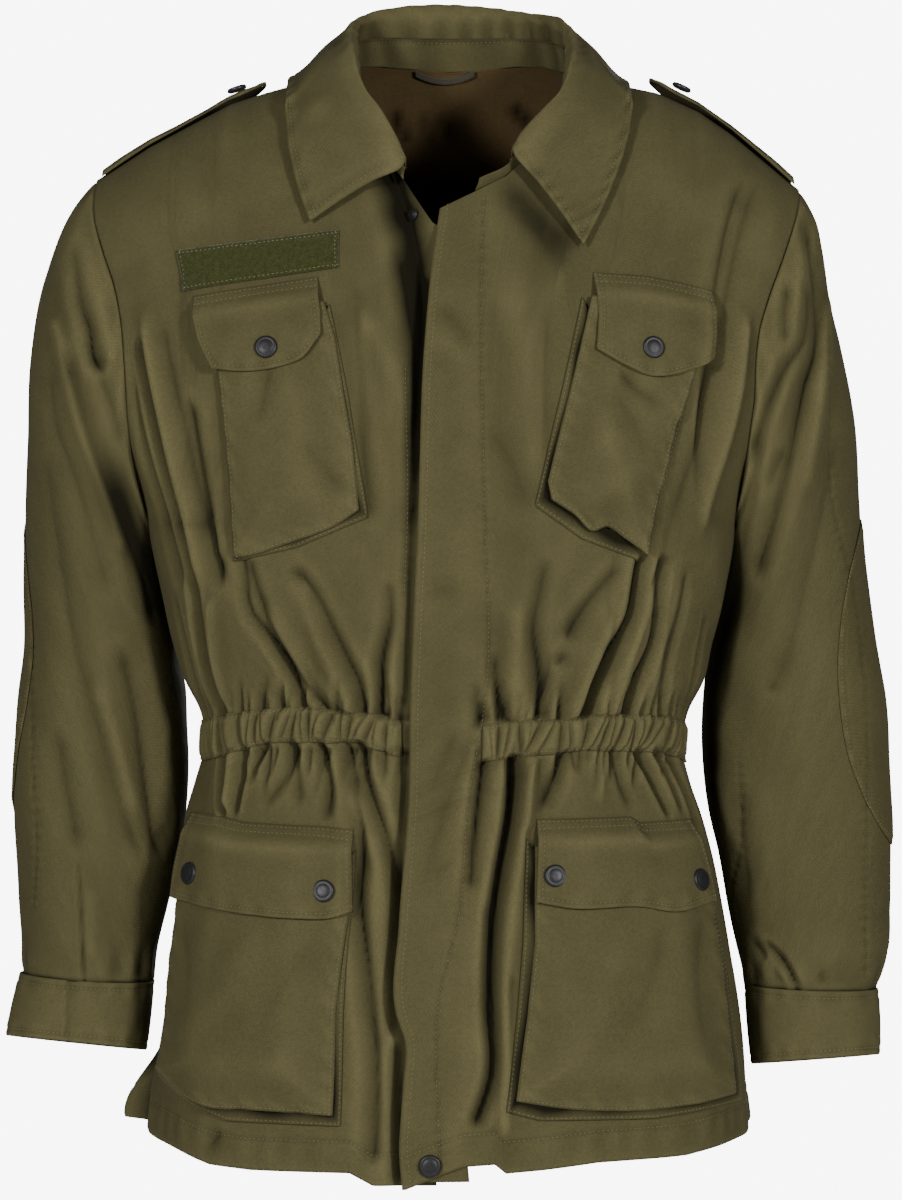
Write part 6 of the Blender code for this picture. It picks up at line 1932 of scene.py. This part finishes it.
def name_strip():
    """The bare hook-and-loop strip, its tufts as small waves."""
    corners = NAME_STRIP
    edges = (corners[:2], corners[2:], (corners[0], corners[2]), (corners[1], corners[3]))
    grid = patch(edges, *STRIP_GRID)
    inside = np.minimum.reduce(edge_distances(grid))
    lift = PANEL_GAP + 1.6 - 0.9 * falling(inside, 1.0) - 0.7 * bell(inside, STRIP_STITCH, 0.9)
    lift += 0.25 * np.sin(grid[..., 0] * 2.1) * np.sin(grid[..., 1] * 1.9)
    face, sign = laid("name_strip", grid, RIGHT, lift, 1.4, "loop_pile")
    sew_edges(face, ALL_ROUND, STRIP_STITCH, sign, "pale_thread")


def fittings():
    name_strip()
    for side in (RIGHT, LEFT):
        pocket("chest", side, CHEST_POCKET[side])
        pocket("hip", side, HIP_POCKET[side])
    snap("hem_snap", *HEM_SNAP, LEFT, SNAP_GAP)
    snap("neck_snap", *NECK_SNAP, RIGHT, SNAP_GAP, radius=NECK_SNAP_RADIUS)


# ---------------------------------------------------------------- finishes
def shader_of(name, colour, roughness, **sockets):
    """A new material and its tree, with what is the same all over set on the shader itself."""
    made = bpy.data.materials.new(name)
    made.use_nodes = True
    shader = made.node_tree.nodes["Principled BSDF"]
    shader.inputs["Base Color"].default_value = (*colour, 1)
    shader.inputs["Roughness"].default_value = roughness
    for socket, value in sockets.items():
        shader.inputs[socket.replace("_", " ")].default_value = value
    made.diffuse_color = (*colour, 1)
    return made, made.node_tree, shader


def add(tree, kind, **settings):
    node = tree.nodes.new(kind)
    for key, value in settings.items():
        if hasattr(node, key):
            setattr(node, key, value)
        else:
            node.inputs[key.replace("_", " ")].default_value = value
    return node


def noise(tree, place, scale, detail=3.0):
    node = add(tree, "ShaderNodeTexNoise", Scale=scale, Detail=detail)
    tree.links.new(place, node.inputs["Vector"])
    return node.outputs["Fac"]


def scaled(tree, value, factor, base=0.0):
    """value * factor + base"""
    node = add(tree, "ShaderNodeMath", operation="MULTIPLY_ADD")
    tree.links.new(value, node.inputs[0])
    node.inputs[1].default_value, node.inputs[2].default_value = factor, base
    return node.outputs[0]


def summed(tree, *values):
    total = values[0]
    for value in values[1:]:
        node = add(tree, "ShaderNodeMath", operation="ADD")
        tree.links.new(total, node.inputs[0])
        tree.links.new(value, node.inputs[1])
        total = node.outputs[0]
    return total


def tinted(tree, shader, colour, factor):
    """Colour times a factor that varies over the surface."""
    node = add(tree, "ShaderNodeVectorMath", operation="SCALE")
    node.inputs[0].default_value = colour
    tree.links.new(factor, node.inputs["Scale"])
    tree.links.new(node.outputs[0], shader.inputs["Base Color"])


def raised(tree, shader, height, strength, distance):
    node = add(tree, "ShaderNodeBump", Strength=strength, Distance=distance)
    tree.links.new(height, node.inputs["Height"])
    tree.links.new(node.outputs[0], shader.inputs["Normal"])


def twill(name, colour):
    """Washed cotton twill: fine diagonal ribs, slubs and slow fading, with painted shade in its folds and
    shadows and painted light on its ridges.
    """
    made, tree, shader = shader_of(
        name, colour, 0.85, Specular_IOR_Level=0.08, Sheen_Weight=0.02, Sheen_Roughness=0.5
    )
    place = add(tree, "ShaderNodeAttribute", attribute_name="cloth").outputs["Vector"]
    ribs = add(tree, "ShaderNodeTexWave", bands_direction="DIAGONAL", Scale=0.3, Distortion=2.0, Detail=1.0)
    tree.links.new(place, ribs.inputs["Vector"])
    grain, slub = noise(tree, place, 1.3, 2.0), noise(tree, place, 0.35)
    fade, cloud = noise(tree, place, 0.05), noise(tree, place, 0.009)
    factor = summed(
        tree,
        scaled(tree, ribs.outputs["Fac"], 0.12, 0.09),
        scaled(tree, grain, 0.80),
        scaled(tree, slub, 0.40),
        scaled(tree, fade, 0.24),
        scaled(tree, cloud, 0.26),
    )
    # painted light and shade: the colour is darker where the cloth lies deep in a fold or in a painted
    # shadow, and paler on a ridge
    depth = add(tree, "ShaderNodeAttribute", attribute_name="depth").outputs["Fac"]
    worn = tree.nodes.new("ShaderNodeMapRange")
    for socket, value in zip(("From Min", "From Max", "To Min", "To Max"), PAINTED_FOLD_SHADE):
        worn.inputs[socket].default_value = value
    tree.links.new(depth, worn.inputs["Value"])
    with_painted_shade = add(tree, "ShaderNodeMath", operation="MULTIPLY")
    tree.links.new(factor, with_painted_shade.inputs[0])
    tree.links.new(worn.outputs["Result"], with_painted_shade.inputs[1])
    tinted(tree, shader, colour, with_painted_shade.outputs[0])
    crumple = noise(tree, place, 0.075, 4.0)
    height = summed(
        tree,
        scaled(tree, ribs.outputs["Fac"], 0.6),
        scaled(tree, grain, 0.9),
        scaled(tree, slub, 0.9),
        scaled(tree, crumple, 5.0),
    )
    raised(tree, shader, height, 0.5, 0.0003)
    return made


def pile(name, colour):
    """Hook-and-loop fastener's looped face."""
    made, tree, shader = shader_of(
        name, colour, 0.95, Specular_IOR_Level=0.1, Sheen_Weight=0.35, Sheen_Roughness=0.4
    )
    place = add(tree, "ShaderNodeAttribute", attribute_name="cloth").outputs["Vector"]
    loops, tufts = noise(tree, place, 1.1, 4.0), noise(tree, place, 0.3)
    tinted(tree, shader, colour, summed(tree, scaled(tree, loops, 2.2, -0.6), scaled(tree, tufts, 1.0)))
    raised(tree, shader, summed(tree, loops, tufts), 0.9, 0.001)
    return made


def spun(name, colour):
    """Sewing thread and tape."""
    made, tree, shader = shader_of(name, colour, 0.7, Specular_IOR_Level=0.3)
    place = add(tree, "ShaderNodeNewGeometry").outputs["Position"]
    tinted(tree, shader, colour, scaled(tree, noise(tree, place, 900.0), 0.6, 0.7))
    return made


def lacquered(name, colour, roughness, metallic):
    """Lacquered metal or plastic, a little worn."""
    made, tree, shader = shader_of(name, colour, roughness, Metallic=metallic)
    place = add(tree, "ShaderNodeNewGeometry").outputs["Position"]
    wear = noise(tree, place, 400.0)
    tinted(tree, shader, colour, scaled(tree, wear, 0.7, 0.65))
    tree.links.new(scaled(tree, noise(tree, place, 250.0), 0.3, roughness - 0.15), shader.inputs["Roughness"])
    return made


FINISHES = {
    "cloth": (twill, (0.101, 0.090, 0.040)),
    "cloth_inside": (twill, (0.095, 0.078, 0.034)),
    # the back's inner face, browner than the cloth: warm light bounced into its shade, painted into the
    # colour
    "back_inside": (twill, (0.110, 0.074, 0.032)),
    "patch_cloth": (twill, (0.095, 0.084, 0.037)),
    "loop_pile": (pile, (0.050, 0.054, 0.016)),
    "tape": (spun, (0.075, 0.066, 0.048)),
    "thread": (spun, (0.21, 0.19, 0.105)),
    "pale_thread": (spun, (0.30, 0.28, 0.17)),
    "snap_metal": (lacquered, (0.034, 0.033, 0.035), 0.45, 0.6),
    "button_plastic": (lacquered, (0.035, 0.035, 0.036), 0.35, 0.2),
}


_finishes = {}


def material(name):
    if name not in _finishes:
        make, *settings = FINISHES[name]
        _finishes[name] = make(f"{name}_finish", *settings)
    return _finishes[name]


# ---------------------------------------------------------------- stage, light and camera
def area_light(name, share, place):
    data = bpy.data.lights.new(name, "AREA")
    data.shape, data.size, data.energy = "SQUARE", LAMP_SIZE, KEY_POWER * share
    lamp = linked(name, data)
    lamp.location = place
    x, y, z = np.array(place) - np.array(LAMP_TARGET)
    lamp.rotation_euler = (math.atan2(math.hypot(x, y), z), 0, math.atan2(y, x) + math.pi / 2)


def stage():
    floor = bpy.data.meshes.new("floor")
    corners = [(x * FLOOR_HALF, y * FLOOR_HALF, 0) for x, y in ((-1, -1), (1, -1), (1, 1), (-1, 1))]
    floor.from_pydata(corners, [], [(0, 1, 2, 3)])
    floor.materials.append(shader_of("floor", (0.8, 0.8, 0.8), 0.9)[0])
    plane = linked("floor", floor)
    plane.location.z = FLOOR_Z
    world = bpy.data.worlds.new("studio")
    world.use_nodes = True
    tree = world.node_tree
    background = tree.nodes["Background"].inputs
    background["Color"].default_value = (1, 1, 1, 1)
    seen = tree.nodes.new("ShaderNodeLightPath").outputs["Is Camera Ray"]
    tree.links.new(scaled(tree, seen, BACKGROUND - AMBIENT, AMBIENT), background["Strength"])
    bpy.context.scene.world = world
    for name, place, share in LAMPS:
        area_light(name, share, place)


def camera():
    data = bpy.data.cameras.new("camera")
    data.sensor_width = SENSOR_MM
    data.lens = SENSOR_MM * CAMERA_DISTANCE / FRAME_HEIGHT
    made = linked("camera", data)
    made.location = (CAMERA_X, -CAMERA_DISTANCE, CAMERA_Z)
    made.rotation_euler = (math.pi / 2, 0, 0)
    bpy.context.scene.camera = made


def main():
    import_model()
    front(RIGHT)
    front(LEFT)
    back()
    fly_facing()
    casings()
    sleeves()
    collar()
    hanger_loop()
    for side, name in SIDE_NAMES.items():
        strap(side, name)
        strap_button(side, name)
    fittings()
    threads()
    stage()
    camera()


main()
